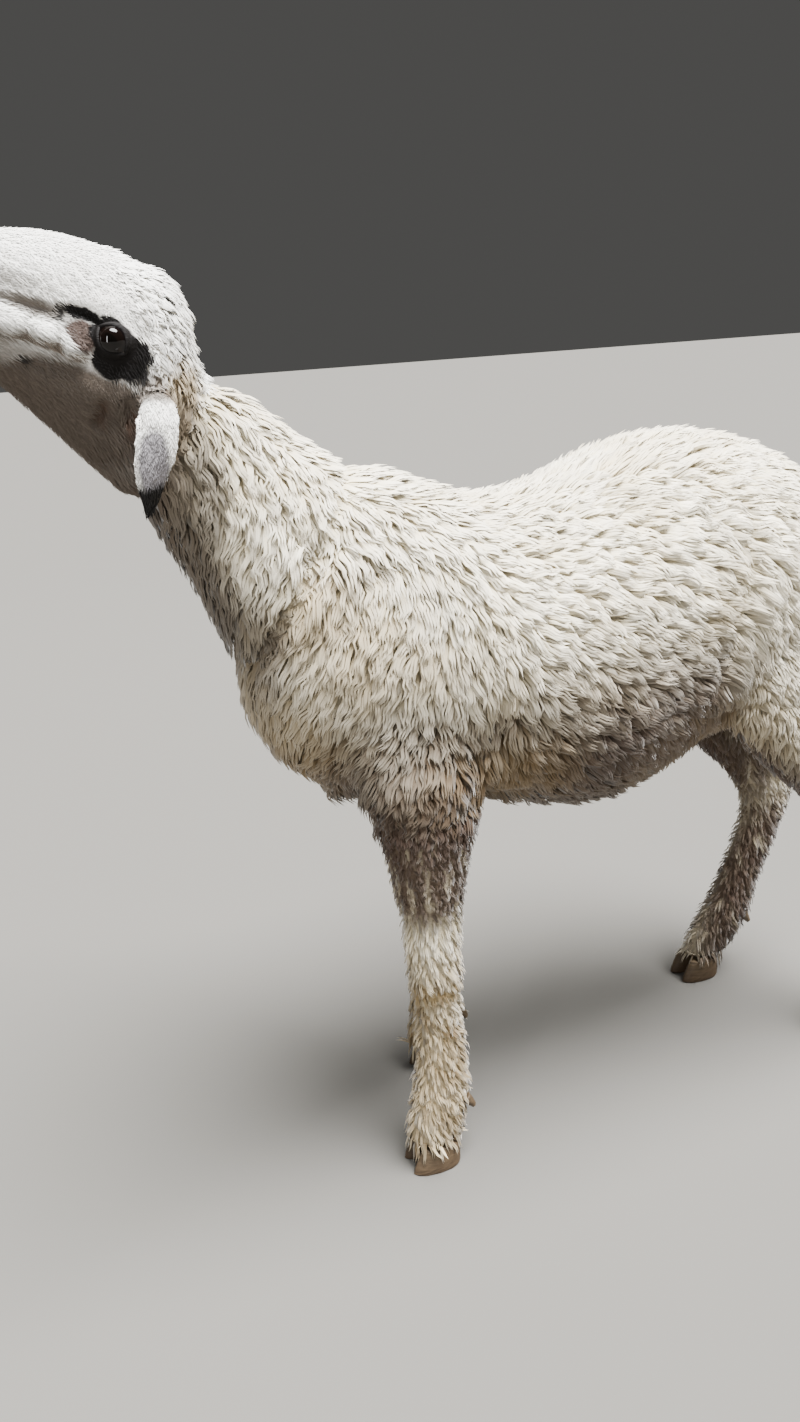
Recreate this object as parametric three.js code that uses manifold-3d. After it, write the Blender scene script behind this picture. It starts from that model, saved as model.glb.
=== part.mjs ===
// A young woolly sheep, life size, standing with its head raised and its nose pointed up.
// Millimetres, +Z up. The sheep faces -X and its left side is -Y. It stands on Z = 0, and the
// origin is under the middle of its bounding box. Every solid goes out to the tips of the coat.
import * as THREE from "three";
import { mergeVertices } from "three/addons/utils/BufferGeometryUtils.js";
import Module from "manifold-3d";

// ---- Driving dimensions ----
const PART_GAP = 0.4; // clear space between two neighbouring solids
const FORE_FOOT_SPREAD = 65; // from the middle plane to the middle of a fore foot
const HIND_FOOT_SPREAD = 84;
const RIGHT_FORE_REACH = 58; // how far the right fore foot stands behind the left one
const RIGHT_HIND_REACH = -78; // the right hind foot stands in front of the left one
const CORONET_HEIGHT = 27; // the top edge of the horn of the claws
const CLAW_LENGTH = 50;
const CLAW_HALF_WIDTH = 10.5;
const CLAW_OFFSET = 12; // from the middle of the foot to the middle of one claw
const DEWCLAW_LENGTH = 17;
const DEWCLAW_TOP_RADIUS = 6.5;
const DEWCLAW_TIP_RADIUS = 3.2;
const DEWCLAW_TILT = 0.6; // radians that the tip leans back
const DEWCLAW_OFFSET = 12;
const DEWCLAW_DROP = 14; // below the middle of the fetlock
const DEWCLAW_SINK = 7; // how far its middle lies inside the back of the leg
const EYE_RADIUS = 14.5;
const EYE_PLACE = new THREE.Vector3(-190, 47.5, 775); // of the right eye
const BROW_RADII = new THREE.Vector3(23, 15, 19); // the bony rim round the eye
const BROW_PLACE = new THREE.Vector3(-188, 44.5, 778);
const EAR_CUPPING = 6; // how deep the hollow of the ear lies behind its edges
const EAR_THICKNESS = 4.2;
const ROUND = 2.1; // fullness of a ring where its section states none
const CURVE_TENSION = 0.5;
const WELD_DISTANCE = 1e-3; // corners nearer than this are one

// Corners of a ring and number of rings
const BODY_SIDES = 26;
const LEG_SIDES = 14;
const TAIL_SIDES = 12;
const CLAW_SIDES = 12;
const RINGS = { trunk: 24, neck: 6, head: 24, fore: 18, hind: 20, tail: 11, claw: 4 };

// Sections of the body, from the rump to the nose. top and bottom are [x, z] on the middle plane,
// half is the half width, level is how far down the widest place lies, and upper and lower are
// the fullness of the two halves of the ring: 2 is round, less is sharper, more is squarer.
const NECK_BASE = { at: "neck base", top: [-24, 680], bottom: [-122, 518], half: 75, level: 0.53 };
const NAPE = { at: "nape", top: [-117, 757], bottom: [-190, 661], half: 52, level: 0.46 };
const TRUNK_SECTIONS = [
  { at: "buttocks", top: [502, 534], bottom: [509, 492], half: 26, level: 0.5 },
  { at: "buttock rims", top: [494, 560], bottom: [507, 462], half: 54, level: 0.5 },
  { at: "pin bones", top: [476, 590], bottom: [494, 424], half: 78, level: 0.5 },
  { at: "tail head", top: [444, 620], bottom: [455, 401], half: 99, level: 0.5 },
  { at: "croup", top: [395, 651], bottom: [398, 393], half: 114, level: 0.5 },
  { at: "hips", top: [330, 671], bottom: [332, 374], half: 119, level: 0.5 },
  { at: "flank", top: [262, 671], bottom: [264, 339], half: 121, level: 0.52 },
  { at: "belly", top: [200, 654], bottom: [198, 326], half: 127, level: 0.54 },
  { at: "last rib", top: [150, 638], bottom: [146, 336], half: 128, level: 0.54 },
  { at: "girth", top: [98, 637], bottom: [92, 350], half: 122, level: 0.53, lower: 1.9 },
  { at: "withers", top: [52, 653], bottom: [36, 357], half: 115, level: 0.52, lower: 1.8 },
  { at: "shoulder", top: [26, 662], bottom: [-28, 373], half: 110, level: 0.52, lower: 1.8 },
  { at: "point of shoulder", top: [8, 667], bottom: [-86, 413], half: 99, level: 0.54 },
  { at: "breast", top: [-8, 672], bottom: [-117, 464], half: 87, level: 0.54 },
  NECK_BASE,
];
const NECK_SECTIONS = [
  NECK_BASE,
  { at: "lower neck", top: [-47, 696], bottom: [-144, 572], half: 64, level: 0.52 },
  { at: "middle neck", top: [-76, 718], bottom: [-162, 614], half: 56, level: 0.5 },
  { at: "upper neck", top: [-102, 740], bottom: [-179, 643], half: 53, level: 0.48 },
  NAPE,
];
const HEAD_SECTIONS = [
  NAPE,
  { at: "poll", top: [-122, 791], bottom: [-204, 677], half: 54, level: 0.42 },
  { at: "crown", top: [-136, 818], bottom: [-220, 693], half: 55, level: 0.4, lower: 1.8 },
  { at: "brow", top: [-164, 832], bottom: [-236, 712], half: 54, level: 0.38, lower: 1.7 },
  { at: "eyes", top: [-190, 843], bottom: [-250, 728], half: 49, level: 0.38, lower: 1.7 },
  { at: "cheek", top: [-217, 851], bottom: [-263, 743], half: 41, level: 0.42, lower: 1.8 },
  { at: "bridge", top: [-243, 854], bottom: [-278, 759], half: 34, level: 0.46 },
  { at: "mouth corner", top: [-268, 853], bottom: [-296, 770], half: 30, level: 0.5 },
  { at: "upper lip", top: [-293, 849], bottom: [-316, 776], half: 29, level: 0.52 },
  { at: "nostrils", top: [-315, 841], bottom: [-333, 782], half: 28, level: 0.48 },
  { at: "nose", top: [-332, 829], bottom: [-343, 791], half: 22, level: 0.46 },
  { at: "nose tip", top: [-340, 818], bottom: [-345, 801], half: 12, level: 0.46 },
];

// Sections of the legs, downwards. front and back are [x, z], half is the half width, and out is
// how far the middle of the section lies outside the middle of the foot.
const FORE_SECTIONS = [
  { at: "shoulder blade", front: [-42, 520], back: [74, 510], half: 26, out: -2 },
  { at: "upper arm", front: [-58, 455], back: [84, 445], half: 38, out: 4 },
  { at: "elbow", front: [-40, 392], back: [66, 380], half: 37, out: 8 },
  { at: "forearm", front: [-23, 330], back: [52, 326], half: 31, out: 6 },
  { at: "lower forearm", front: [-15, 275], back: [45, 272], half: 27, out: 4 },
  { at: "knee", front: [-13, 225], back: [43, 222], half: 26, out: 3 },
  { at: "upper cannon", front: [-6, 178], back: [43, 176], half: 22, out: 1 },
  { at: "lower cannon", front: [-8, 126], back: [46, 122], half: 23, out: 0 },
  { at: "fetlock", front: [-14, 84], back: [48, 76], half: 26, out: 0 },
  { at: "pastern", front: [-22, 52], back: [43, 46], half: 26, out: 0 },
  { at: "coronet", front: [-23, CORONET_HEIGHT], back: [36, CORONET_HEIGHT], half: 24, out: 0 },
];
const HIND_SECTIONS = [
  { at: "hip", front: [338, 560], back: [492, 545], half: 34, out: -30 },
  { at: "thigh", front: [316, 487], back: [509, 468], half: 46, out: -14 },
  { at: "stifle", front: [314, 414], back: [506, 410], half: 44, out: -5 },
  { at: "upper gaskin", front: [352, 364], back: [502, 374], half: 37, out: 0 },
  { at: "gaskin", front: [410, 310], back: [518, 334], half: 31, out: 2 },
  { at: "lower gaskin", front: [462, 262], back: [546, 288], half: 26, out: 2 },
  { at: "hock", front: [492, 215], back: [561, 236], half: 24, out: 1 },
  { at: "upper cannon", front: [496, 170], back: [557, 178], half: 23, out: 0 },
  { at: "lower cannon", front: [492, 120], back: [550, 122], half: 23, out: 0 },
  { at: "fetlock", front: [485, 84], back: [550, 78], half: 26, out: 0 },
  { at: "pastern", front: [474, 52], back: [541, 46], half: 26, out: 0 },
  { at: "coronet", front: [472, CORONET_HEIGHT], back: [531, CORONET_HEIGHT], half: 24, out: 0 },
];
const FORE_JOINT = 200; // height of the cut at the knee
const HIND_JOINT = 208; // height of the cut at the hock
const FORE_TOP = 352; // height of the cut below the elbow
const HIND_TOP = 396; // height of the cut at the stifle

// The tail hangs close behind the buttocks and ends above the hocks.
const TAIL_SECTIONS = [
  { at: "root", front: [424, 588], back: [440, 616], half: 15 },
  { at: "rise", front: [460, 580], back: [486, 608], half: 19 },
  { at: "bend", front: [484, 556], back: [521, 580], half: 21 },
  { at: "upper tail", front: [501, 520], back: [545, 524], half: 22 },
  { at: "middle tail", front: [508, 450], back: [549, 450], half: 20 },
  { at: "lower tail", front: [513, 385], back: [548, 384], half: 17 },
  { at: "tip", front: [521, 332], back: [540, 330], half: 9 },
];

const wasm = await Module();
wasm.setup();

// ---- Helpers ----
const COLOURS = { wool: "#d9cfba", face: "#e6e2da", horn: "#6f6350", eye: "#16120f" };

function material(name) {
  const shiny = name === "eye";
  return new THREE.MeshStandardMaterial({
    color: COLOURS[name],
    roughness: shiny ? 0.1 : 0.85,
    metalness: 0,
  });
}

// A three.js geometry as a manifold solid.
function solidFrom(geometry) {
  const bare = geometry.index ? geometry.toNonIndexed() : geometry.clone();
  bare.deleteAttribute("normal");
  bare.deleteAttribute("uv");
  const merged = mergeVertices(bare, WELD_DISTANCE);
  return new wasm.Manifold(
    new wasm.Mesh({
      numProp: 3,
      vertProperties: merged.attributes.position.array,
      triVerts: new Uint32Array(merged.index.array),
    }),
  );
}

function geometryFrom(solid) {
  const mesh = solid.getMesh();
  const places = new Float32Array(mesh.numVert * 3);
  for (let i = 0; i < mesh.numVert; i++) {
    const start = i * mesh.numProp;
    places.set(mesh.vertProperties.subarray(start, start + 3), i * 3);
  }
  const geometry = new THREE.BufferGeometry();
  geometry.setAttribute("position", new THREE.BufferAttribute(places, 3));
  geometry.setIndex(new THREE.BufferAttribute(mesh.triVerts, 1));
  geometry.computeVertexNormals();
  return geometry;
}

// A closed surface through rings of the same number of points, with a flat fan at each end.
function skinRings(rings) {
  const sides = rings[0].length;
  const places = rings.flat().flatMap((p) => [p.x, p.y, p.z]);
  const faces = [];
  for (let r = 0; r + 1 < rings.length; r++) {
    for (let s = 0; s < sides; s++) {
      const here = r * sides + s;
      const next = r * sides + ((s + 1) % sides);
      faces.push(here, next, here + sides, next, next + sides, here + sides);
    }
  }
  for (const [ring, first] of [[rings[0], 0], [rings.at(-1), (rings.length - 1) * sides]]) {
    const middle = new THREE.Vector3();
    ring.forEach((p) => middle.addScaledVector(p, 1 / sides));
    const centre = places.length / 3;
    places.push(middle.x, middle.y, middle.z);
    for (let s = 0; s < sides; s++) {
      const next = first + ((s + 1) % sides);
      if (first === 0) faces.push(centre, next, first + s);
      else faces.push(centre, first + s, next);
    }
  }
  const geometry = new THREE.BufferGeometry();
  geometry.setAttribute("position", new THREE.Float32BufferAttribute(places, 3));
  geometry.setIndex(faces);
  const solid = solidFrom(geometry);
  if (solid.volume() > 0) return solid;
  geometry.setIndex(faces.reverse());
  return solidFrom(geometry);
}

const curve = (points) => new THREE.CatmullRomCurve3(points, false, "catmullrom", CURVE_TENSION);

// One ring from point a to point b, full at level of the way, widest by half along Y.
function ring(a, b, half, level, upper, lower, sides) {
  const along = b.clone().sub(a);
  return Array.from({ length: sides }, (_, i) => {
    const angle = (2 * Math.PI * i) / sides;
    const down = (1 - Math.cos(angle)) / 2; // 0 at a, 1 at b
    const inUpper = down < 0.5;
    const power = 2 / (inUpper ? upper : lower);
    const cos = Math.abs(Math.cos(angle)) ** power;
    const share = inUpper ? level * (1 - cos) : level + (1 - level) * cos;
    const side = Math.sign(Math.sin(angle)) * Math.abs(Math.sin(angle)) ** power;
    return a.clone().addScaledVector(along, share).add(new THREE.Vector3(0, side * half, 0));
  });
}

const NEAR_END = 0.01; // the share of a loft that gives the direction at its end

// A solid through sections, smoothed by Catmull-Rom curves through their ends and sizes. steps is
// the number of rings, grow moves the surface out, and trim shortens both ends along the loft.
function loft(sections, options) {
  const { steps, sides, grow = 0, trim = 0, place = 0, mirror = 1, shift = () => 0 } = options;
  const starts = sections.map((s) => s.top ?? s.front);
  const ends = sections.map((s) => s.bottom ?? s.back);
  const point = ([x, z], s) =>
    new THREE.Vector3(x + shift(z), mirror * (place + (s.out ?? 0)), z);
  const startCurve = curve(starts.map((p, i) => point(p, sections[i])));
  const endCurve = curve(ends.map((p, i) => point(p, sections[i])));
  const sizeCurve = curve(sections.map((s) => new THREE.Vector3(s.half, s.level ?? 0.5, 0)));
  const fullness = curve(
    sections.map((s) => new THREE.Vector3(s.upper ?? ROUND, s.lower ?? ROUND, 0)),
  );
  const rings = [];
  for (let i = 0; i < steps; i++) {
    const t = i / (steps - 1);
    const a = startCurve.getPoint(t);
    const b = endCurve.getPoint(t);
    const out = b.clone().sub(a).normalize();
    const size = sizeCurve.getPoint(t);
    const full = fullness.getPoint(t);
    if (i === 0 || i === steps - 1) {
      const near = i === 0 ? t + NEAR_END : t - NEAR_END;
      const ahead = startCurve.getPoint(near).add(endCurve.getPoint(near));
      const inward = ahead.sub(a).sub(b).normalize().multiplyScalar(trim);
      a.add(inward);
      b.add(inward);
    }
    a.addScaledVector(out, -grow);
    b.addScaledVector(out, grow);
    rings.push(ring(a, b, size.x + grow, size.y, full.x, full.y, sides));
  }
  return skinRings(rings);
}

function box(low, high) {
  const size = new THREE.Vector3().subVectors(high, low);
  const geometry = new THREE.BoxGeometry(size.x, size.y, size.z);
  const middle = new THREE.Vector3().addVectors(low, high).multiplyScalar(0.5);
  return solidFrom(geometry.translate(middle.x, middle.y, middle.z));
}

const FAR = 1500; // larger than the sheep
const below = (z) => box(new THREE.Vector3(-FAR, -FAR, -FAR), new THREE.Vector3(FAR, FAR, z));
const above = (z) => box(new THREE.Vector3(-FAR, -FAR, z), new THREE.Vector3(FAR, FAR, FAR));

const sheep = new THREE.Group();

function add(name, finish, solid) {
  const mesh = new THREE.Mesh(geometryFrom(solid), material(finish));
  mesh.name = name;
  sheep.add(mesh);
}

// The solid's largest closed body, without slivers that a cut may leave.
function mainBody(solid) {
  return solid.decompose().reduce((a, b) => (a.volume() > b.volume() ? a : b));
}

// ---- Legs ----
// How far a section at height z is moved along X, so that the foot stands elsewhere.
const FORE_SWING_TOP = 720; // the fore leg swings about this height
const foreSwing = (z) => RIGHT_FORE_REACH * (1 - z / FORE_SWING_TOP);

// The hind leg swings about the hip, so its hock moves less than its foot.
const HOCK_HEIGHT = 226;
const HOCK_REACH = -8;
const HIP_HEIGHT = 430;
function hindSwing(z) {
  if (z < HOCK_HEIGHT) return THREE.MathUtils.lerp(RIGHT_HIND_REACH, HOCK_REACH, z / HOCK_HEIGHT);
  const climb = (z - HOCK_HEIGHT) / (HIP_HEIGHT - HOCK_HEIGHT);
  return THREE.MathUtils.lerp(HOCK_REACH, 0, Math.min(1, climb));
}
const unmoved = () => 0;

const LEG_KINDS = {
  fore: { sections: FORE_SECTIONS, spread: FORE_FOOT_SPREAD, joint: FORE_JOINT, top: FORE_TOP },
  hind: { sections: HIND_SECTIONS, spread: HIND_FOOT_SPREAD, joint: HIND_JOINT, top: HIND_TOP },
};
const LEGS = [
  { kind: "fore", side: "left", mirror: -1, shift: unmoved },
  { kind: "fore", side: "right", mirror: 1, shift: foreSwing },
  { kind: "hind", side: "left", mirror: -1, shift: unmoved },
  { kind: "hind", side: "right", mirror: 1, shift: hindSwing },
];

// One claw: a wedge with a flat sole, a sloping front wall and a low heel. The numbers are shares
// of the claw's length, height and half width.
const CLAW_SECTIONS = [
  { front: [-0.56, 0], back: [0.44, 0], half: 1 },
  { front: [-0.53, 0.25], back: [0.45, 0.25], half: 1.04 },
  { front: [-0.44, 0.62], back: [0.45, 0.62], half: 1 },
  { front: [-0.34, 1], back: [0.42, 1], half: 0.9 },
];

function claw(foot, side) {
  const height = CORONET_HEIGHT - PART_GAP;
  const sections = CLAW_SECTIONS.map((s) => ({
    front: [foot.x + s.front[0] * CLAW_LENGTH, s.front[1] * height],
    back: [foot.x + s.back[0] * CLAW_LENGTH, s.back[1] * height],
    half: s.half * CLAW_HALF_WIDTH,
    level: 0.58,
  }));
  const place = foot.y + side * CLAW_OFFSET;
  return loft(sections, { steps: RINGS.claw, sides: CLAW_SIDES, place });
}

// A dewclaw: a small blunt cone behind the fetlock, pointing down and back.
function dewclaw(middle, grow = 0) {
  const cone = new THREE.CylinderGeometry(
    DEWCLAW_TOP_RADIUS + grow, DEWCLAW_TIP_RADIUS + grow, DEWCLAW_LENGTH + 2 * grow, 8,
  );
  cone.rotateX(Math.PI / 2);
  cone.rotateY(-DEWCLAW_TILT);
  return solidFrom(cone.translate(middle.x, middle.y, middle.z));
}

for (const leg of LEGS) {
  const kind = LEG_KINDS[leg.kind];
  const whole = loft(kind.sections, {
    steps: RINGS[leg.kind], sides: LEG_SIDES, place: kind.spread, mirror: leg.mirror,
    shift: leg.shift,
  });
  leg.stump = whole.intersect(above(kind.top + PART_GAP));
  leg.limb = whole.intersect(below(kind.top));
  const fetlock = kind.sections.find((s) => s.at === "fetlock");
  const coronet = kind.sections.at(-1);
  const foot = new THREE.Vector3(
    (coronet.front[0] + coronet.back[0]) / 2 + leg.shift(0), leg.mirror * kind.spread, 0,
  );
  const height = (fetlock.front[1] + fetlock.back[1]) / 2 - DEWCLAW_DROP;
  for (const [side, name] of [[-leg.mirror, "inner"], [leg.mirror, "outer"]]) {
    add(`claw_${leg.kind}_${leg.side}_${name}`, "horn", claw(foot, side));
    const middle = new THREE.Vector3(
      fetlock.back[0] + leg.shift(height) - DEWCLAW_SINK, foot.y + side * DEWCLAW_OFFSET, height,
    );
    add(`dewclaw_${leg.kind}_${leg.side}_${name}`, "horn", dewclaw(middle));
    leg.limb = leg.limb.subtract(dewclaw(middle, PART_GAP));
  }
}

// ---- Trunk, neck and tail ----
const trunkLoft = { steps: RINGS.trunk, sides: BODY_SIDES, trim: PART_GAP / 2 };
const trunkRoom = loft(TRUNK_SECTIONS, { ...trunkLoft, grow: PART_GAP, trim: 0 });
const tailLoft = { steps: RINGS.tail, sides: TAIL_SIDES };
const tailRoom = loft(TAIL_SECTIONS, { ...tailLoft, grow: PART_GAP });
const neckLoft = { steps: RINGS.neck, sides: BODY_SIDES, trim: PART_GAP / 2 };
const neckRoom = loft(NECK_SECTIONS, { ...neckLoft, grow: PART_GAP, trim: 0 });

let trunk = loft(TRUNK_SECTIONS, trunkLoft);
for (const leg of LEGS) trunk = trunk.add(leg.stump);
add("trunk", "wool", mainBody(trunk.subtract(tailRoom)));
add("neck", "wool", loft(NECK_SECTIONS, neckLoft));
add("tail", "wool", mainBody(loft(TAIL_SECTIONS, tailLoft).subtract(trunkRoom)));
for (const leg of LEGS) {
  const { joint } = LEG_KINDS[leg.kind];
  const limb = leg.limb.subtract(trunkRoom);
  const label = `${leg.kind}_leg_${leg.side}`;
  add(`upper_${label}`, "wool", mainBody(limb.intersect(above(joint + PART_GAP))));
  add(`lower_${label}`, "wool", mainBody(limb.intersect(below(joint))));
}

// ---- Head ----
function eyeball(mirror, radius) {
  const ball = new THREE.SphereGeometry(radius, 14, 9);
  return solidFrom(ball.translate(EYE_PLACE.x, mirror * EYE_PLACE.y, EYE_PLACE.z));
}

function brow(mirror) {
  const ball = new THREE.SphereGeometry(1, 12, 8);
  ball.scale(BROW_RADII.x, BROW_RADII.y, BROW_RADII.z);
  return solidFrom(ball.translate(BROW_PLACE.x, mirror * BROW_PLACE.y, BROW_PLACE.z));
}

// A drooping leaf-shaped ear, hollow on its outer face, that tapers to a narrow tip.
const EAR_SECTIONS = [
  { at: "root", place: [-164, 42, 730], width: 17 },
  { at: "turn", place: [-168, 64, 731], width: 25 },
  { at: "shoulder", place: [-171, 78, 722], width: 30 },
  { at: "blade", place: [-176, 83, 705], width: 31 },
  { at: "lower blade", place: [-182, 83, 685], width: 24 },
  { at: "tip", place: [-187, 80, 657], width: 6 },
];
const EAR_SWING = { left: 0, right: 14 }; // how far back the tip of each ear is swung
const EAR_STEPS = 9;
const EAR_ACROSS = 6;

function ear(mirror, swing) {
  const middleLine = curve(EAR_SECTIONS.map((s) => new THREE.Vector3(...s.place)));
  const widths = curve(EAR_SECTIONS.map((s, i) => new THREE.Vector3(i, s.width, 0)));
  const frontward = new THREE.Vector3(-1, -0.25, 0); // across the blade, towards the nose
  const rings = [];
  for (let i = 0; i <= EAR_STEPS; i++) {
    const t = i / EAR_STEPS;
    const middle = middleLine.getPoint(t);
    middle.x += swing * t;
    const along = middleLine.getTangent(t);
    const half = widths.getPoint(t).y / 2;
    const across = frontward.clone().addScaledVector(along, -frontward.dot(along)).normalize();
    const outward = new THREE.Vector3().crossVectors(across, along).normalize();
    const cup = Math.min(EAR_CUPPING, half / 2);
    const edge = (v, depth) => middle.clone().addScaledVector(across, v * half)
      .addScaledVector(outward, cup * (v * v - 1) - depth);
    const hollow = [];
    const back = [];
    for (let s = 0; s <= EAR_ACROSS; s++) {
      const v = -1 + (2 * s) / EAR_ACROSS;
      hollow.push(edge(v, 0));
      back.unshift(edge(v, EAR_THICKNESS * (1 - 0.5 * v * v) * (1 - 0.4 * t)));
    }
    rings.push([...hollow, ...back].map((p) => new THREE.Vector3(p.x, mirror * p.y, p.z)));
  }
  return skinRings(rings);
}

const headLoft = { steps: RINGS.head, sides: BODY_SIDES, trim: PART_GAP / 2 };
let head = loft(HEAD_SECTIONS, headLoft);
const headRoom = loft(HEAD_SECTIONS, { ...headLoft, grow: PART_GAP, trim: 0 });
for (const [mirror, side] of [[-1, "left"], [1, "right"]]) {
  head = head.add(brow(mirror)).subtract(eyeball(mirror, EYE_RADIUS + PART_GAP));
  add(`eye_${side}`, "eye", eyeball(mirror, EYE_RADIUS));
  const whole = ear(mirror, EAR_SWING[side]);
  const outside = whole.subtract(headRoom).subtract(neckRoom).subtract(brow(mirror));
  add(`ear_${side}`, "face", mainBody(outside));
}
add("head", "face", mainBody(head));

// ---- Centre the sheep over the origin ----
const bounds = new THREE.Box3().setFromObject(sheep);
const centre = bounds.getCenter(new THREE.Vector3());
sheep.position.set(-centre.x, -centre.y, -bounds.min.z);

export default sheep;
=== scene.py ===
"""A young woolly sheep, life size: one skin, a fleece of curled locks, short hair, eyes and claws.

Metres, +Z up. The sheep faces -X and its left side is -Y. Sizes in millimetres carry MM.
"""

import math

import bpy
import numpy as np
from bpy.props import FloatProperty, FloatVectorProperty, IntProperty, PointerProperty
from mathutils import Matrix, Vector, noise
from mathutils.bvhtree import BVHTree
from mathutils.kdtree import KDTree


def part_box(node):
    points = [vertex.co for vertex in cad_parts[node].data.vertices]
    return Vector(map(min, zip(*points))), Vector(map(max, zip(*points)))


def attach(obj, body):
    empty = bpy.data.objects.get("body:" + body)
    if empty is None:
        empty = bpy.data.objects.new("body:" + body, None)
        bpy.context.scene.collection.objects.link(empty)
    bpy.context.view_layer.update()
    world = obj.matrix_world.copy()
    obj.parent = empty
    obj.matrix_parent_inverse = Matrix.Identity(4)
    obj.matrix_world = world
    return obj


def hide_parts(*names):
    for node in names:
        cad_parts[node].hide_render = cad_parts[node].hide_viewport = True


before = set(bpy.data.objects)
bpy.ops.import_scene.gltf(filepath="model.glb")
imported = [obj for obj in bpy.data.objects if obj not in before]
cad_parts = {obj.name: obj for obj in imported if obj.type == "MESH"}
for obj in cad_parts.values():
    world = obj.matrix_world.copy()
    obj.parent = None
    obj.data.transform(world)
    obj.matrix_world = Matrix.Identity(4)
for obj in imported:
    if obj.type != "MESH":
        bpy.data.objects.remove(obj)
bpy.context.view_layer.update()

bl_info = {
    "name": "Woolly sheep",
    "version": (1, 0, 0),
    "blender": (4, 5, 0),
    "location": "3D View > Sidebar > Sheep",
    "description": "Skin, fleece, hair, eyes and claws of a life-size standing sheep",
    "category": "Object",
}

MM = 0.001
SEED = 7
BODY = "root"
SIDES = {"left": -1, "right": 1}
LEGS = [f"{end}_leg_{side}" for end in ("fore", "hind") for side in SIDES]
EARS = [f"ear_{side}" for side in SIDES]
FLESH = ["trunk", "neck", "tail", "head", *EARS]
FLESH += [f"{part}_{leg}" for part in ("upper", "lower") for leg in LEGS]
CLAWS = [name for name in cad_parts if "claw" in name]


# ---- Places, worked out from the frame ----
def spot(node, along, out, up):
    """The place at these shares of a node's box. out is 0 on the middle plane and 1 at the side."""
    low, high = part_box(node)
    side = max(abs(low.y), abs(high.y))
    inner = 0.0 if low.y * high.y < 0 else min(abs(low.y), abs(high.y))
    return Vector((
        low.x + along * (high.x - low.x),
        inner + out * (side - inner),
        low.z + up * (high.z - low.z),
    ))


def middle_of(node):
    low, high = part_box(node)
    return (low + high) / 2


NOSEWARD = Vector((-0.92, 0, 0.39)).normalized()  # along the raised head
CROWNWARD = Vector((0.39, 0, 0.92)).normalized()  # from the jaw to the crown
EYE = middle_of("eye_right")  # of the right eye, which the left one mirrors


def on_head(along, up, out=0.0):
    """The place this many millimetres noseward, crownward and outward of the eye's middle."""
    return EYE + (NOSEWARD * along + CROWNWARD * up + Vector((0, out, 0))) * MM


def linear(code):
    """An sRGB hex value as linear red, green, blue and a full alpha."""
    shares = [int(code[i : i + 2], 16) / 255 for i in (1, 3, 5)]
    return (*[s / 12.92 if s <= 0.04045 else ((s + 0.055) / 1.055) ** 2.4 for s in shares], 1.0)


# ---- Settings that a user would change ----
class SkinSettings(bpy.types.PropertyGroup):
    voxel: FloatProperty(
        name="Voxel", description="Edge length of the remeshed skin", default=2.3 * MM,
        min=1 * MM, unit="LENGTH",
    )
    faces: IntProperty(
        name="Faces", description="Triangles of the skin before the eyes and muzzle are refined",
        default=140000, min=20000,
    )


class FleeceSettings(bpy.types.PropertyGroup):
    spacing: FloatProperty(
        name="Lock spacing", description="Least distance between the roots of two locks",
        default=3.95 * MM, min=2 * MM, unit="LENGTH",
    )
    length: FloatProperty(
        name="Staple length", description="Length of a lock on the ribs", default=27 * MM,
        unit="LENGTH",
    )
    crimp: FloatProperty(
        name="Crimp", description="How far a lock waves to each side", default=1.5 * MM,
        unit="LENGTH",
    )
    tip: FloatVectorProperty(
        name="Tip", description="Colour of clean wool at the tips", subtype="COLOR", size=4,
        default=linear("#F5ECD6"), min=0, max=1,
    )
    base: FloatVectorProperty(
        name="Base", description="Colour of the wool near the skin", subtype="COLOR", size=4,
        default=linear("#E6D8B6"), min=0, max=1,
    )


class HairSettings(bpy.types.PropertyGroup):
    spacing: FloatProperty(
        name="Tuft spacing", description="Least distance between two tufts of the face",
        default=1.55 * MM, min=1 * MM, unit="LENGTH",
    )
    white: FloatVectorProperty(
        name="White", description="Colour of the face's short hair", subtype="COLOR", size=4,
        default=linear("#F4F2EC"), min=0, max=1,
    )
    black: FloatVectorProperty(
        name="Black", description="Colour of the marks round the eyes and on the ears",
        subtype="COLOR", size=4, default=linear("#0E0B0A"), min=0, max=1,
    )


class EyeSettings(bpy.types.PropertyGroup):
    radius: FloatProperty(
        name="Radius", description="Radius of the eyeball", default=13.4 * MM, unit="LENGTH",
    )
    opening: FloatProperty(
        name="Opening", description="Length of the gap between the lids", default=26 * MM,
        unit="LENGTH",
    )


class StageSettings(bpy.types.PropertyGroup):
    floor: FloatVectorProperty(
        name="Floor", description="Colour of the floor", subtype="COLOR", size=4,
        default=linear("#605E5A"), min=0, max=1,
    )
    floor_size: FloatProperty(
        name="Floor size", description="Side of the floor", default=40.0, unit="LENGTH",
    )


SETTINGS = {
    "sheep_skin": SkinSettings,
    "sheep_fleece": FleeceSettings,
    "sheep_hair": HairSettings,
    "sheep_eyes": EyeSettings,
    "sheep_stage": StageSettings,
}


# ---- Helpers for objects and meshes ----
def pick(*objects):
    """Selects only these objects and makes the first one active."""
    bpy.ops.object.select_all(action="DESELECT")
    for each in objects:
        each.select_set(True)
    bpy.context.view_layer.objects.active = objects[0]


def apply_modifier(piece, kind, **settings):
    pick(piece)
    bpy.ops.object.modifier_add(type=kind)
    modifier = piece.modifiers[-1]
    for name, value in settings.items():
        setattr(modifier, name, value)
    bpy.ops.object.modifier_apply(modifier=modifier.name)


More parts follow.
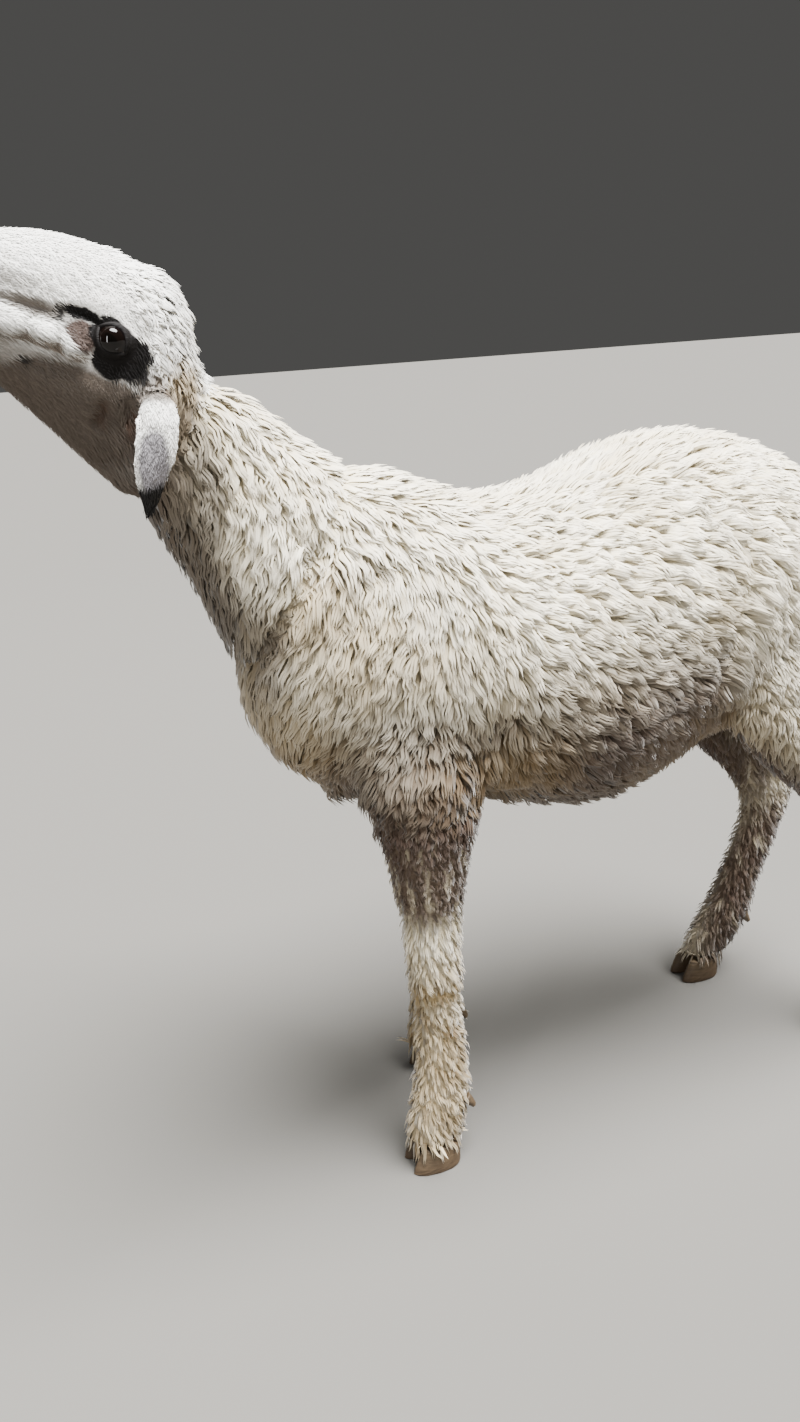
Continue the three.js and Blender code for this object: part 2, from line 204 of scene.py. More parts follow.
def closed_copy(node, name, swell=0.0):
    """A copy of a CAD node with its doubles merged, pushed out by swell."""
    piece = bpy.data.objects.new(name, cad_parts[node].data.copy())
    piece.data.materials.clear()
    bpy.context.scene.collection.objects.link(piece)
    pick(piece)
    bpy.ops.object.mode_set(mode="EDIT")
    bpy.ops.mesh.select_all(action="SELECT")
    bpy.ops.mesh.remove_doubles(threshold=0.01 * MM)
    bpy.ops.mesh.normals_make_consistent(inside=False)
    bpy.ops.object.mode_set(mode="OBJECT")
    if swell:
        places, normals = places_of(piece), normals_of(piece)
        set_places(piece, places + normals * swell)
    return piece


def read(items, name, width=1, kind=np.float32):
    """One property of all the items, width numbers for each."""
    found = np.empty(len(items) * width, kind)
    items.foreach_get(name, found)
    return found.reshape(-1, width) if width > 1 else found


def places_of(piece):
    return read(piece.data.vertices, "co", 3).astype(np.float64)


def normals_of(piece):
    return read(piece.data.vertices, "normal", 3).astype(np.float64)


def set_places(piece, places):
    piece.data.vertices.foreach_set("co", places.astype(np.float32).ravel())
    piece.data.update()


def triangles_of(piece):
    piece.data.calc_loop_triangles()
    return read(piece.data.loop_triangles, "vertices", 3, np.int32)


def unit(vectors):
    return vectors / np.maximum(np.linalg.norm(vectors, axis=-1, keepdims=True), 1e-12)


def smooth_step(values, low, high):
    share = np.clip((values - low) / (high - low), 0, 1)
    return share * share * (3 - 2 * share)


def to_line(points, line):
    """The distance of each point from a line of straight stretches."""
    best = np.full(len(points), np.inf)
    for a, b in zip(line[:-1], line[1:]):
        start, way = np.array(a, float), np.array(b, float) - np.array(a, float)
        share = np.clip((points - start) @ way / (way @ way), 0, 1)
        best = np.minimum(best, np.linalg.norm(points - start - share[:, None] * way, axis=1))
    return best


def mirrored(places):
    """The same places on the right side of the sheep."""
    return places * [1, 0, 1] + np.abs(places) * [0, 1, 0]


def mirror_of(place):
    return Vector((place.x, -place.y, place.z))


def near_line(points, line, width):
    """1 on the line, falling off smoothly to nothing at about twice the width."""
    return np.exp(-((to_line(points, line) / width) ** 2))


def rough(places, size):
    """A smooth random number between about -1 and 1 at each place, size metres across."""
    return np.array([noise.noise(Vector(p) / size) for p in places.tolist()])


def search_tree(places):
    """A tree that finds the numbers of the places near a place."""
    tree = KDTree(len(places))
    for number, place in enumerate(places.tolist()):
        tree.insert(place, number)
    tree.balance()
    return tree


def store(mesh, name, values):
    """Keeps a number or a vector for each vertex under this name."""
    kind, field = ("FLOAT_VECTOR", "vector") if values.ndim > 1 else ("FLOAT", "value")
    mesh.attributes.new(name, kind, "POINT").data.foreach_set(field, values.ravel())


def add_group(piece, name, numbers, weight=1.0):
    group = piece.vertex_groups.get(name) or piece.vertex_groups.new(name=name)
    group.add(numbers.tolist(), float(weight), "REPLACE")


def finish(piece, slot, *nodes):
    """Smooth shading, the piece hung under the body's empty, and the nodes that it stands for hidden.
    slot is not used.
    """
    pick(piece)
    bpy.ops.object.shade_smooth()
    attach(piece, BODY)
    if nodes:
        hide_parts(*nodes)


# ---- Materials ----
def add_node(tree, kind, settings=None, inputs=None):
    """Adds a node, sets its properties, and sets or links its sockets, by name or number."""
    made = tree.nodes.new(kind)
    for name, value in (settings or {}).items():
        setattr(made, name, value)
    for name, value in (inputs or {}).items():
        if isinstance(value, bpy.types.NodeSocket):
            tree.links.new(value, made.inputs[name])
        else:
            made.inputs[name].default_value = value
    return made


def new_material(name):
    """A material with an empty node tree, and the tree."""
    material = bpy.data.materials.new(name)
    material.use_nodes = True
    material.node_tree.nodes.clear()
    return material, material.node_tree


def set_surface(tree, inputs):
    """Ends a material's tree with its shader and its output."""
    shader = add_node(tree, "ShaderNodeBsdfPrincipled", None, inputs)
    add_node(tree, "ShaderNodeOutputMaterial", None, {"Surface": shader.outputs[0]})


def attribute(tree, name, output="Fac"):
    """A value that the mesh keeps under this name."""
    return add_node(tree, "ShaderNodeAttribute", {"attribute_name": name}).outputs[output]


def object_place(tree):
    return add_node(tree, "ShaderNodeTexCoord").outputs["Object"]


def math_of(tree, operation, *values, clamp=False):
    settings = {"operation": operation, "use_clamp": clamp}
    return add_node(tree, "ShaderNodeMath", settings, dict(enumerate(values))).outputs[0]


def vector_math(tree, operation, *values):
    """The outputs of one operation on vectors."""
    settings = {"operation": operation}
    return add_node(tree, "ShaderNodeVectorMath", settings, dict(enumerate(values))).outputs


def blended(tree, factor, first, second, blend_type="MIX"):
    """Two colours blended by factor, each of them a socket or a value."""
    settings = {"data_type": "RGBA", "blend_type": blend_type}
    return add_node(tree, "ShaderNodeMix", settings, {0: factor, 6: first, 7: second}).outputs[2]


def ranged(tree, value, start, end, low=0.0, high=1.0, kind="LINEAR"):
    """value as it goes from start to end, made to go from low to high and held there."""
    made = add_node(
        tree, "ShaderNodeMapRange", {"interpolation_type": kind},
        {"Value": value, "From Min": start, "From Max": end, "To Min": low, "To Max": high},
    )
    return made.outputs[0]


def shaded(tree, colour, value, dark, light, start=0.0, end=1.0):
    """colour multiplied by dark where value is start, and by light where it is end."""
    shade = ranged(tree, value, start, end, dark, light)
    return blended(tree, 1.0, colour, shade, "MULTIPLY")


def noise_of(tree, place, scale, detail=2.0):
    made = add_node(
        tree, "ShaderNodeTexNoise", None, {"Vector": place, "Scale": scale, "Detail": detail},
    )
    return made.outputs["Fac"]


def mapped(tree, place, scale, tilt=0.0):
    """place stretched by scale and then turned by tilt degrees about Y."""
    turn = (0, math.radians(tilt), 0)
    made = add_node(
        tree, "ShaderNodeMapping", None, {"Vector": place, "Rotation": turn, "Scale": scale},
    )
    return made.outputs[0]


def bumped(tree, height, distance, strength):
    made = add_node(
        tree, "ShaderNodeBump", None,
        {"Height": height, "Distance": distance, "Strength": strength},
    )
    return made.outputs[0]


def on_right_side(tree, place):
    """place, mirrored to the right side of the sheep if it is on the left one."""
    parts = add_node(tree, "ShaderNodeSeparateXYZ", None, {0: place}).outputs
    out = math_of(tree, "ABSOLUTE", parts["Y"])
    made = add_node(tree, "ShaderNodeCombineXYZ", None, {"X": parts["X"], "Y": out, "Z": parts["Z"]})
    return made.outputs[0]


def within(tree, place, middle, radii, tilt, fade, strength=1.0):
    """strength in an ellipsoid, fading to 0 across its surface."""
    inside = add_node(
        tree, "ShaderNodeMapping", {"vector_type": "TEXTURE"},
        {
            "Vector": place, "Location": middle, "Scale": [r * MM for r in radii],
            "Rotation": (0, math.radians(tilt), 0),
        },
    )
    away = vector_math(tree, "LENGTH", inside.outputs[0])["Value"]
    return ranged(tree, away, 1 + fade / 2, 1 - fade / 2, 0.0, strength, "SMOOTHSTEP")


# The marks of skin and coat: name, middle, radii in millimetres along the head, outward and up,
# tilt in degrees of the first radius towards the crown, share of the radius that fades, strength.
HEAD_TILT = math.degrees(math.atan2(NOSEWARD.z, -NOSEWARD.x))
FOREARM = spot("upper_fore_leg_left", 0.5, 0.6, 0.92)
BLACK_MARKS = [
    ("eye ring", on_head(1, 0, 6), (18, 26, 14), HEAD_TILT + 28, 0.16, 1),
    ("below the eye", on_head(-3, -12, 4), (15, 26, 14), HEAD_TILT, 0.2, 1),
    ("behind the eye", on_head(-12, -2, 4), (14, 26, 10), HEAD_TILT, 0.2, 1),
    ("patch's corner", on_head(-13, -11, 3), (13, 26, 12), HEAD_TILT, 0.2, 1),
    ("tear line", on_head(26, 10.5, 2), (15, 26, 4.2), HEAD_TILT + 2, 0.35, 1),
    ("tear hook", on_head(39, 6, -2), (3.5, 26, 6), HEAD_TILT, 0.4, 0.9),
    ("ear tip", spot(EARS[0], 0.42, 0.85, 0.0), (32, 26, 24), 0, 0.25, 1),
    # The nostril marks paint the shade inside the nostrils' openings in black.
    ("nostril", on_head(151, -14.5, -39.5), (5, 4.2, 5), HEAD_TILT, 0.4, 0.95),
    ("nostril's bend", on_head(149, -10, -36.7), (5, 4.6, 4.6), HEAD_TILT, 0.4, 0.95),
    ("nostril's wing", on_head(146, -6, -33.8), (5, 4.2, 4.2), HEAD_TILT, 0.4, 0.95),
    ("nostril's end", on_head(143, -3.6, -30.8), (4.5, 3, 3), HEAD_TILT, 0.4, 0.92),
    ("cheek spot", on_head(52, -31, -8), (5.5, 20, 3.6), HEAD_TILT, 0.5, 0.85),
]
BARE_MARKS = [
    ("bare corner", on_head(21, -3, 2), (13, 22, 10), HEAD_TILT + 15, 0.4, 1.0),
    ("nose", on_head(160, -20, -47), (20, 24, 18), HEAD_TILT, 0.5, 0.75),
]
HOLLOW_MARKS = [
    ("ear hollow", spot(EARS[0], 0.36, 0.95, 0.46), (11, 12, 25), 4, 0.4, 0.95),
]
# Greyer hair with painted shade: on the jaw and cheek under the fold, below the eye, above the fold,
# behind the ear, and on the throat and the low neck.
GREY_AND_SHADE_MARKS = [
    ("jaw", on_head(16, -56, -30), (64, 66, 38), HEAD_TILT, 0.3, 0.97),
    ("lower jaw", on_head(66, -56, -30), (62, 66, 34), HEAD_TILT, 1.2, 0.85),
    ("cheek", on_head(-2, -52, -30), (30, 66, 30), HEAD_TILT, 0.5, 0.85),
    ("under the eye", on_head(-4, -38, -4), (34, 32, 14), HEAD_TILT - 10, 0.5, 0.96),
    ("behind the patch", on_head(-35, -25, -2), (15, 34, 15), HEAD_TILT, 0.5, 0.9),
    ("above the fold", on_head(60, 5, -10), (30, 30, 6.5), HEAD_TILT, 1.0, 0.85),
    ("upper cheek", on_head(84, 17, -10), (28, 30, 6), HEAD_TILT, 1.2, 0.55),
    ("throat", spot("neck", 0.1, 0.1, 0.45), (56, 60, 120), -35, 0.6, 0.88),
    ("behind the ear", on_head(-81, -73, 8), (20, 50, 62), 0, 0.8, 0.75),
    ("gullet", on_head(-45, -72, -42), (50, 60, 40), HEAD_TILT, 0.6, 0.85),
    ("low neck", spot("neck", 0.42, 0.6, 0.14), (40, 54, 50), 0, 0.9, 0.7),
]
# Darker short hair with painted shade: the forearm in the body's shadow, the jaw's and ear's creases,
# the low flank and shoulder, and the inner sides of the hind legs.
DARK_AND_SHADE_MARKS = [
    ("forearm", FOREARM, (70, 60, 60), 0, 0.4, 0.95),
    ("jaw crease", on_head(-5, -50, -7), (4, 20, 9), HEAD_TILT, 1.0, 0.8),
    ("ear crease", on_head(-26, -50, -4), (5, 20, 10), HEAD_TILT, 1.0, 0.9),
    ("low flank", spot("trunk", 0.55, 0.95, 0.28), (120, 60, 80), 0, 1.5, 0.75),
    ("low shoulder", spot("trunk", 0.2, 0.95, 0.24), (75, 60, 60), 0, 1.4, 0.7),
    ("inner thigh", spot("upper_hind_leg_left", 0.35, -0.3, 0.6), (150, 90, 190), 0, 0.4, 0.92),
    ("inner shank", spot("lower_hind_leg_left", 0.4, -0.3, 0.4), (120, 66, 150), 0, 0.6, 0.95),
]
STAIN_MARKS = [
    ("elbow", spot("trunk", 0.3, 0.8, 0.24), (70, 70, 45), 0, 0.9, 0.4),
    ("low flank", spot("trunk", 0.62, 0.7, 0.2), (80, 60, 50), 0, 0.9, 0.4),
    ("breast", spot("trunk", 0.02, 0.3, 0.38), (60, 90, 70), 0, 0.9, 0.4),
    ("shoulder", spot("trunk", 0.13, 0.9, 0.62), (60, 50, 40), 0, 1.0, 0.4),
    ("neck's base", spot("neck", 0.82, 1.0, 0.2), (44, 50, 40), 0, 1.2, 0.42),
    ("ruff", on_head(-52, -26, -4), (16, 30, 36), HEAD_TILT, 0.7, 0.75),
    ("below the knee", spot("lower_fore_leg_left", 0.5, 0.5, 1.0), (60, 60, 10), 0, 0.8, 0.75),
    ("shank", spot("lower_fore_leg_left", 0.5, 0.5, 0.4), (60, 60, 95), 0, 0.8, 0.55),
    ("knee", spot("lower_fore_leg_left", 0.5, 0.5, 1.15), (60, 60, 30), 0, 0.8, 0.25),
    ("pastern", spot("lower_fore_leg_left", 0.5, 0.5, 0.55), (60, 60, 7), 0, 0.9, 0.45),
]

# The marks and their colours, from the lowest layer up; the grey and dark layers are partly painted
# shade. The black marks come over all of them.
MARK_LAYERS = [
    (STAIN_MARKS, "#A38857"),
    (GREY_AND_SHADE_MARKS, "#54493F"),
    (DARK_AND_SHADE_MARKS, "#4C3B30"),
    (BARE_MARKS, "#544741"),
    (HOLLOW_MARKS, "#7E7A7E"),
]
WAVER = 7 * MM  # moves the marks' edges by about 2 mm over 10 mm

# Colours of skin, wool, horn and eyes, besides the settings that a user would change.
WORN, SKIN_UNDER_WOOL = "#C9BDAF", "#E0D4B8"
# The two darker colours after the grease stand for dirt with painted shade, on the wool and on the
# short hair.
GREASE, WOOL_DIRT_AND_SHADE, HAIR_DIRT_AND_SHADE = "#D2C09A", "#57493A", "#6A5C4E"
DARK_HORN, LIGHT_HORN, SOIL, GRIME = "#352B23", "#66563F", "#4F3F2C", "#4A3A2A"
DARK_IRIS, LIGHT_IRIS, PUPIL = "#060404", "#0F0906", "#050403"
IRIS_RADII, PUPIL_RADII = (9.6, 9.6, 8.6), (5.2, 9.0, 2.6)  # in millimetres, along the opening first


def mask_of(tree, place, marks):
    """How strongly any of these marks covers a place, from 0 to 1."""
    total = 0.0
    for _, *mark in marks:
        total = math_of(tree, "MAXIMUM", total, within(tree, place, *mark))
    return total


def marked(tree, place, colour):
    """colour with the sheep's marks over it, the painted shade of the grey and dark marks among them.
    place is where the hair grows from the skin.
    """
    wavy = add_node(tree, "ShaderNodeTexNoise", None, {"Vector": place, "Scale": 100.0, "Detail": 2.0})
    ragged = vector_math(tree, "SUBTRACT", wavy.outputs["Color"], (0.5, 0.5, 0.5))[0]
    moved = vector_math(tree, "MULTIPLY_ADD", ragged, (WAVER,) * 3, on_right_side(tree, place))[0]
    # Light streaks about 9 mm wide and 30 mm tall stand in the dark patches.
    streaks = noise_of(tree, mapped(tree, place, (110, 110, 34)), 1.0)
    tufts = ranged(tree, streaks, 0.54, 0.72, 1.0, 0.5)
    for marks, code in MARK_LAYERS:
        mask = mask_of(tree, moved, marks)
        if marks is DARK_AND_SHADE_MARKS:
            mask = math_of(tree, "MULTIPLY", mask, tufts)
        colour = blended(tree, mask, colour, linear(code))
    black = bpy.context.scene.sheep_hair.black[:]
    return blended(tree, mask_of(tree, moved, BLACK_MARKS), colour, black)


def haired_skin():
    """Skin with short white hair, seen on the face, ears and feet and deep between the locks.

    The hair lies flat, so it shows as a fine streaked bump and a soft mottle.
    """
    material, tree = new_material("haired_skin")
    place = object_place(tree)
    # Hairs about 1 mm apart and 6 mm long, drawn that coarse so that they show.
    hairs = noise_of(tree, mapped(tree, place, (160, 900, 900), -HEAD_TILT), 1.0, 3.0)
    worn = ranged(tree, noise_of(tree, place, 45.0, 4.0), 0.42, 0.75, 0.0, 0.4)
    colour = blended(tree, worn, bpy.context.scene.sheep_hair.white[:], linear(WORN))
    colour = blended(tree, attribute(tree, "fleece"), colour, linear(SKIN_UNDER_WOOL))
    colour = marked(tree, place, colour)
    set_surface(tree, {
        "Base Color": shaded(tree, colour, hairs, 0.72, 1.08, 0.3, 0.7),
        "Roughness": 0.7, "Specular IOR Level": 0.15, "Normal": bumped(tree, hairs, 0.8 * MM, 0.6),
    })
    return material


def wool():
    """Crimped wool with its grease: cream at the tips, yellower near the skin, and matt.

    Each lock differs a little from the next, and dirt with painted shade darkens the wool low on the
    body, underneath and in its folds.
    """
    fleece = bpy.context.scene.sheep_fleece
    material, tree = new_material("greasy_wool")
    root, along = attribute(tree, "root", "Vector"), attribute(tree, "along")
    tip = ranged(tree, along, 0.1, 0.85, kind="SMOOTHSTEP")
    colour = blended(tree, tip, fleece.base[:], fleece.tip[:])
    # Patches about 40 mm across hold more of the yellow grease.
    greasy = ranged(tree, noise_of(tree, root, 24.0, 3.0), 0.45, 0.72, 0.0, 0.5)
    colour = blended(tree, greasy, colour, linear(GREASE))
    # The dirt and painted shade sit deep in the wool, and the locks' tips stay lighter.
    held = ranged(tree, along, 0.0, 1.0, 1.5, 0.8)
    dirt_shade = math_of(tree, "MULTIPLY", attribute(tree, "dirt_and_shade"), held, clamp=True)
    colour = blended(tree, dirt_shade, colour, linear(WOOL_DIRT_AND_SHADE))
    colour = marked(tree, root, colour)
    set_surface(tree, {
        "Base Color": shaded(tree, colour, attribute(tree, "tone"), 0.74, 1.04),
        "Roughness": 0.85, "Specular IOR Level": 0.15, "Sheen Weight": 0.3, "Sheen Roughness": 0.5,
    })
    return material


def short_hair():
    """Short straight hair of the face and ears: white, a little glossy, with the same marks."""
    material, tree = new_material("short_hair")
    white = bpy.context.scene.sheep_hair.white[:]
    # Darker where the hair faces the ground: dirt with painted shade.
    colour = blended(tree, attribute(tree, "dirt_and_shade"), white, linear(HAIR_DIRT_AND_SHADE))
    colour = marked(tree, attribute(tree, "root", "Vector"), colour)
    set_surface(tree, {
        "Base Color": shaded(tree, colour, attribute(tree, "tone"), 0.68, 1.06),
        "Roughness": 0.6, "Specular IOR Level": 0.3,
    })
    return material


def claw_horn():
    """Keratin of the claws: layered growth rings about 3 mm apart, chalky, with dirt at the sole."""
    material, tree = new_material("claw_horn")
    place = object_place(tree)
    rings = noise_of(tree, mapped(tree, place, (40, 40, 330), 14), 1.0)
    colour = blended(tree, rings, linear(DARK_HORN), linear(LIGHT_HORN))
    patches = noise_of(tree, place, 90.0, 3.0)
    soiled = math_of(tree, "MULTIPLY_ADD", patches, 0.6, attribute(tree, "heel"), clamp=True)
    colour = blended(tree, soiled, colour, linear(SOIL))
    height = add_node(tree, "ShaderNodeSeparateXYZ", None, {0: place}).outputs["Z"]
    grime = ranged(tree, height, 20 * MM, 1 * MM, 0.0, 0.85)
    set_surface(tree, {
        "Base Color": blended(tree, grime, colour, linear(GRIME)),
        "Roughness": 0.55, "Specular IOR Level": 0.4, "Normal": bumped(tree, rings, 0.8 * MM, 0.8),
    })
    return material


def wet_eye():
    """Eyeball under a wet cornea: dark brown iris, a pupil that is a level bar, mirror-like gloss."""
    material, tree = new_material("wet_eye")
    place = object_place(tree)
    right = on_right_side(tree, place)
    middle = eye_middle() + GAZE * bpy.context.scene.sheep_eyes.radius
    tilt = HEAD_TILT + OPENING_TILT
    iris, pupil = [within(tree, right, middle, radii, tilt, 0.2) for radii in (IRIS_RADII, PUPIL_RADII)]
    fibres = noise_of(tree, place, 700.0)
    brown = blended(tree, fibres, linear(DARK_IRIS), linear(LIGHT_IRIS))
    colour = blended(tree, iris, linear(DARK_IRIS), brown)
    set_surface(tree, {
        "Base Color": blended(tree, pupil, colour, linear(PUPIL)), "Roughness": 0.3,
        "Specular IOR Level": 0.0, "Coat Weight": 1.0, "Coat Roughness": 0.03, "Coat IOR": 1.33,
    })
    return material


# ---- Skin ----
# How far the coat's tips stand from the skin on each part, in millimetres, and the share of the
# smoothing that the part gets.
COAT_DEPTHS = {"trunk": 12, "neck": 10.5, "tail": 8, "head": 2.2, "ear": 1.0, "upper": 5, "lower": 6}
SUPPLENESS = {
    "trunk": 1.0, "neck": 0.9, "tail": 0.5, "head": 0.16, "ear": 0.012, "upper": 0.35, "lower": 0.16,
}
CROWN_DEPTH = 7  # of the wool on the poll
CROWN_FADE = 45  # millimetres behind the edge of the head's wool where it is at its full depth
LEG_RISE = 26 * MM  # how far the short coat of a leg reaches up the trunk
SLEEVE_HEIGHT = 60 * MM  # above that, where the fleece thins out towards the leg
SMOOTHING_ROUNDS, EAR_ROUNDS = 110, 8
GAP_FILLER = 0.6 * MM  # swells the flesh so that the cuts between its parts close
EAR_FILLER = 1.1 * MM
GAZE = Vector((-0.22, 0.96, 0.12)).normalized()  # of the right eye
OPENING_TILT = 28  # degrees that the opening's front corner is raised from the head's line
EYE_SINK = 1.6 * MM
LID_THICKNESS = 1.2 * MM
UPPER_LID, LOWER_LID = 10.5 * MM, 8.5 * MM  # how far the opening goes up and down from its middle
EAR_HOLLOW = 1.8 * MM  # how far the middle of an ear lies behind its rims

# Depth and length of a leg's coat in millimetres at heights, as shares of the upper part's box
# from 0 to 1 and of the lower part's box from -1 to 0.
FORE_COAT = (
    [-1, -0.9, -0.6, -0.1, 0.0, 0.15, 0.5, 0.62, 1.0, 1.2],
    [4, 6.5, 6, 6.5, 4.5, 6.5, 6.5, 3, 3, 5],
    [26, 24, 14, 14, 10, 15, 15, 7, 9, 14],
)
HIND_COAT = (
    [-1, -0.9, -0.6, -0.1, 0.1, 0.5, 0.8, 1.2],
    [4, 6.5, 6, 6, 5, 5, 6.5, 8],
    [26, 24, 13, 13, 13, 13, 16, 20],
)


def eye_middle():
    """The middle of the right eyeball, a little deeper in the head than its CAD solid."""
    return EYE - Vector((0, EYE_SINK, 0))


def kind_of(name):
    return name.split("_")[0]


def of_parts(value_of, owners):
    """What value_of says of the name of the part that each place lies on."""
    return np.array([value_of(name) for name in FLESH])[owners]


def on_parts(names, owners):
    """Whether each place lies on one of these parts."""
    return np.isin(owners, [FLESH.index(name) for name in names])


def leg_coat(places, leg):
    """Depth and length of a leg's coat at each place, in millimetres."""
    low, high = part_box(f"upper_{leg}")
    height = places[:, 2]
    share = np.where(height > low.z, (height - low.z) / (high.z - low.z), height / low.z - 1)
    heights, depths, lengths = HIND_COAT if "hind" in leg else FORE_COAT
    return np.interp(share, heights, depths), np.interp(share, heights, lengths)


def coat_depth(places, owners):
    """How far the coat's tips stand from the skin at each place on these parts, in metres."""
    depth = of_parts(lambda name: COAT_DEPTHS[kind_of(name)], owners)
    kinds = of_parts(kind_of, owners)
    on_poll = depth + (CROWN_DEPTH - depth) * smooth_step(crown_edge(places), 0, CROWN_FADE)
    depth = np.where(kinds == "head", on_poll, depth)
    for leg in LEGS:
        depth = np.where(leg_area(places, owners, leg), leg_coat(places, leg)[0], depth)
        low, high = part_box(f"upper_{leg}")
        above = (places[:, 2] - high.z - LEG_RISE) / SLEEVE_HEIGHT
        beside = np.abs(places[:, 0] - (low.x + high.x) / 2) < (high.x - low.x) * 0.75
        sleeve = (kinds == "trunk") & beside & (above > 0) & (above < 1)
        top = leg_coat(np.array([[0, 0, high.z + LEG_RISE]]), leg)[0][0]
        thinned = np.minimum(depth, top + (depth - top) * smooth_step(above, 0, 1))
        depth = np.where(sleeve, thinned, depth)
    return depth * MM


def leg_area(places, owners, leg):
    """Where a leg's own coat grows: on its two parts and a little way up the trunk."""
    low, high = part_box(f"upper_{leg}")
    ragged = places[:, 2] < high.z + LEG_RISE * (1 + 0.5 * rough(places, 9 * MM))
    beside = (places[:, 0] > low.x - 5 * MM) & (places[:, 0] < high.x + 5 * MM)
    side = places[:, 1] * SIDES[leg.split("_")[-1]] > 0
    sleeve = on_parts(["trunk"], owners) & ragged & beside & side
    return on_parts([f"upper_{leg}", f"lower_{leg}"], owners) | sleeve


def part_finder():
    """A search tree over the flesh of the frame, and the part that each of its faces belongs to."""
    places, faces, owners = [], [], []
    for number, name in enumerate(FLESH):
        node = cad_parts[name]
        faces += [[v + len(places) for v in p.vertices] for p in node.data.polygons]
        owners += [number] * len(node.data.polygons)
        places += [v.co.copy() for v in node.data.vertices]
    return BVHTree.FromPolygons(places, faces), np.array(owners)


def owners_of(places, finder):
    """The number of the part that each place is nearest to."""
    tree, owners = finder
    return owners[[tree.find_nearest(p)[2] for p in places.tolist()]]


def edge_mean(values, edges, rounds):
    """values, one for each vertex, averaged along the mesh's edges this many times."""
    count = np.bincount(edges.ravel(), minlength=len(values))
    for _ in range(rounds):
        total = np.bincount(edges[:, 0], values[edges[:, 1]], len(values))
        total += np.bincount(edges[:, 1], values[edges[:, 0]], len(values))
        values = (values + total) / (1 + count)
    return values


def whole_flesh():
    """The flesh as one closed, evenly meshed surface, its eye sockets filled."""
    scene = bpy.context.scene
    pieces = []
    for name in FLESH:
        swell = EAR_FILLER if name in EARS else GAP_FILLER
        pieces.append(closed_copy(name, f"{name}_flesh", swell))
    for middle in (mirror_of(EYE), EYE):
        bpy.ops.mesh.primitive_uv_sphere_add(
            segments=32, ring_count=20, radius=scene.sheep_eyes.radius + 2 * MM, location=middle,
        )
        pieces.append(bpy.context.object)
        bpy.ops.object.transform_apply(location=True, rotation=True, scale=True)
    pick(*pieces)
    bpy.ops.object.join()
    skin = bpy.context.object
    skin.name = skin.data.name = "skin"
    voxel = scene.sheep_skin.voxel
    apply_modifier(skin, "REMESH", mode="VOXEL", voxel_size=voxel, adaptivity=0.0)
    return skin


def refine(skin, middles, reach):
    """Halves the edges of the skin within reach of these places."""
    places = places_of(skin)
    near = np.zeros(len(places), bool)
    for middle in middles:
        near |= np.linalg.norm(places - np.array(middle), axis=1) < reach
    pick(skin)
    mesh = skin.data
    bpy.ops.object.mode_set(mode="EDIT")
    bpy.ops.mesh.select_all(action="DESELECT")
    bpy.ops.object.mode_set(mode="OBJECT")
    starts = read(mesh.polygons, "loop_start", 1, np.int32)
    corners = read(mesh.loops, "vertex_index", 1, np.int32)
    whole = np.minimum.reduceat(near[corners], starts)
    mesh.polygons.foreach_set("select", whole)
    edges = read(mesh.edges, "vertices", 2, np.int32)
    mesh.edges.foreach_set("select", near[edges].all(1))
    mesh.vertices.foreach_set("select", near)
    bpy.ops.object.mode_set(mode="EDIT")
    bpy.ops.mesh.select_mode(type="FACE")
    bpy.ops.mesh.subdivide(number_cuts=1, smoothness=0.0)
    bpy.ops.object.mode_set(mode="OBJECT")


# Lumps (+) and hollows (-) of the head's sides: middle as millimetres noseward and crownward of
# the eye, radii along and up, and height. Grooves: their points, width and depth.
HEAD_LUMPS = [
    ("brow", (4, 19), (17, 6), 2.2),
    ("temple", (-22, 14), (12, 9), -2.0),
    ("cheek fold", (42, -9), (11, 6), 7.5),
    ("fold end", (24, -14), (7, 5.5), 6.0),
    ("fold start", (62, -10), (9, 7), 6.0),
    ("second fold", (80, -14), (9, 6), 3.6),
    ("hollow above the fold", (52, 4), (24, 5), -4.2),
    ("hollow below the fold", (46, -27), (28, 8), -3.6),
    ("jaw muscle", (-2, -36), (20, 15), 3.4),
    ("nasal slope", (62, 16), (26, 8), -1.2),
    ("upper lip", (132, -25), (16, 10), 2.4),
    ("lower lip", (136, -44), (12, 7), 1.6),
    ("lip corner", (98, -30), (9, 8), 1.6),
    ("nose wing", (146, -5), (8, 8), 1.4),
]
MOUTH = [(158, -31), (150, -34), (135, -38), (116, -37), (99, -32)]
HEAD_HOLLOWS = [("poll", (-80, 32), (30, 34), -10.0)]  # all round the head, not only on its sides
HEAD_GROOVES = [
    ("tear groove", [(13, 8), (24, 10.5), (38, 9)], 2.8, 3.2),
    ("fold line", [(16, -22), (28, -21), (46, -18), (64, -20)], 3.0, 2.4),
    ("fold notch", [(33, -4), (32, -17)], 2.4, 2.4),
    ("second notch", [(53, -2), (54, -16)], 2.6, 2.4),
    ("upper wrinkle", [(50, 4), (66, 3), (84, 1)], 2.6, 1.6),
    ("third wrinkle", [(70, 12), (86, 9), (100, 4)], 3.0, 1.0),
    ("jaw crease", [(-4, -42), (-6, -49), (-3, -58)], 3.2, 3.2),
    ("ear crease", [(-21, -36), (-24, -50)], 3.5, 3.6),
    ("mouth", MOUTH, 1.7, 3.6),
    ("chin line", [(116, -50), (96, -44)], 4.0, 1.2),
]
NOSTRIL = [(152, -16, -41), (150, -11, -37.5), (147, -5.5, -34), (141, -3, -29)]
NOSTRIL_SIZE = (2.2, 3.0)
PHILTRUM = [(156, -12, -47.5), (158, -24, -47.5), (156, -33, -47.5)]
PHILTRUM_SIZE = (1.6, 2.0)
NOSE, NOSE_SIZE = (158, -14, -47), (14, 12, 20)  # the bare skin between the nostrils
LIPS = 140  # from here on noseward the grooves go round the head's front
CHEEK_TUFTS = [(24, -13), (42, -10), (62, -9), (82, -13)]  # longer hair on the cheek's fold
MUZZLE = on_head(130, -25, -47)

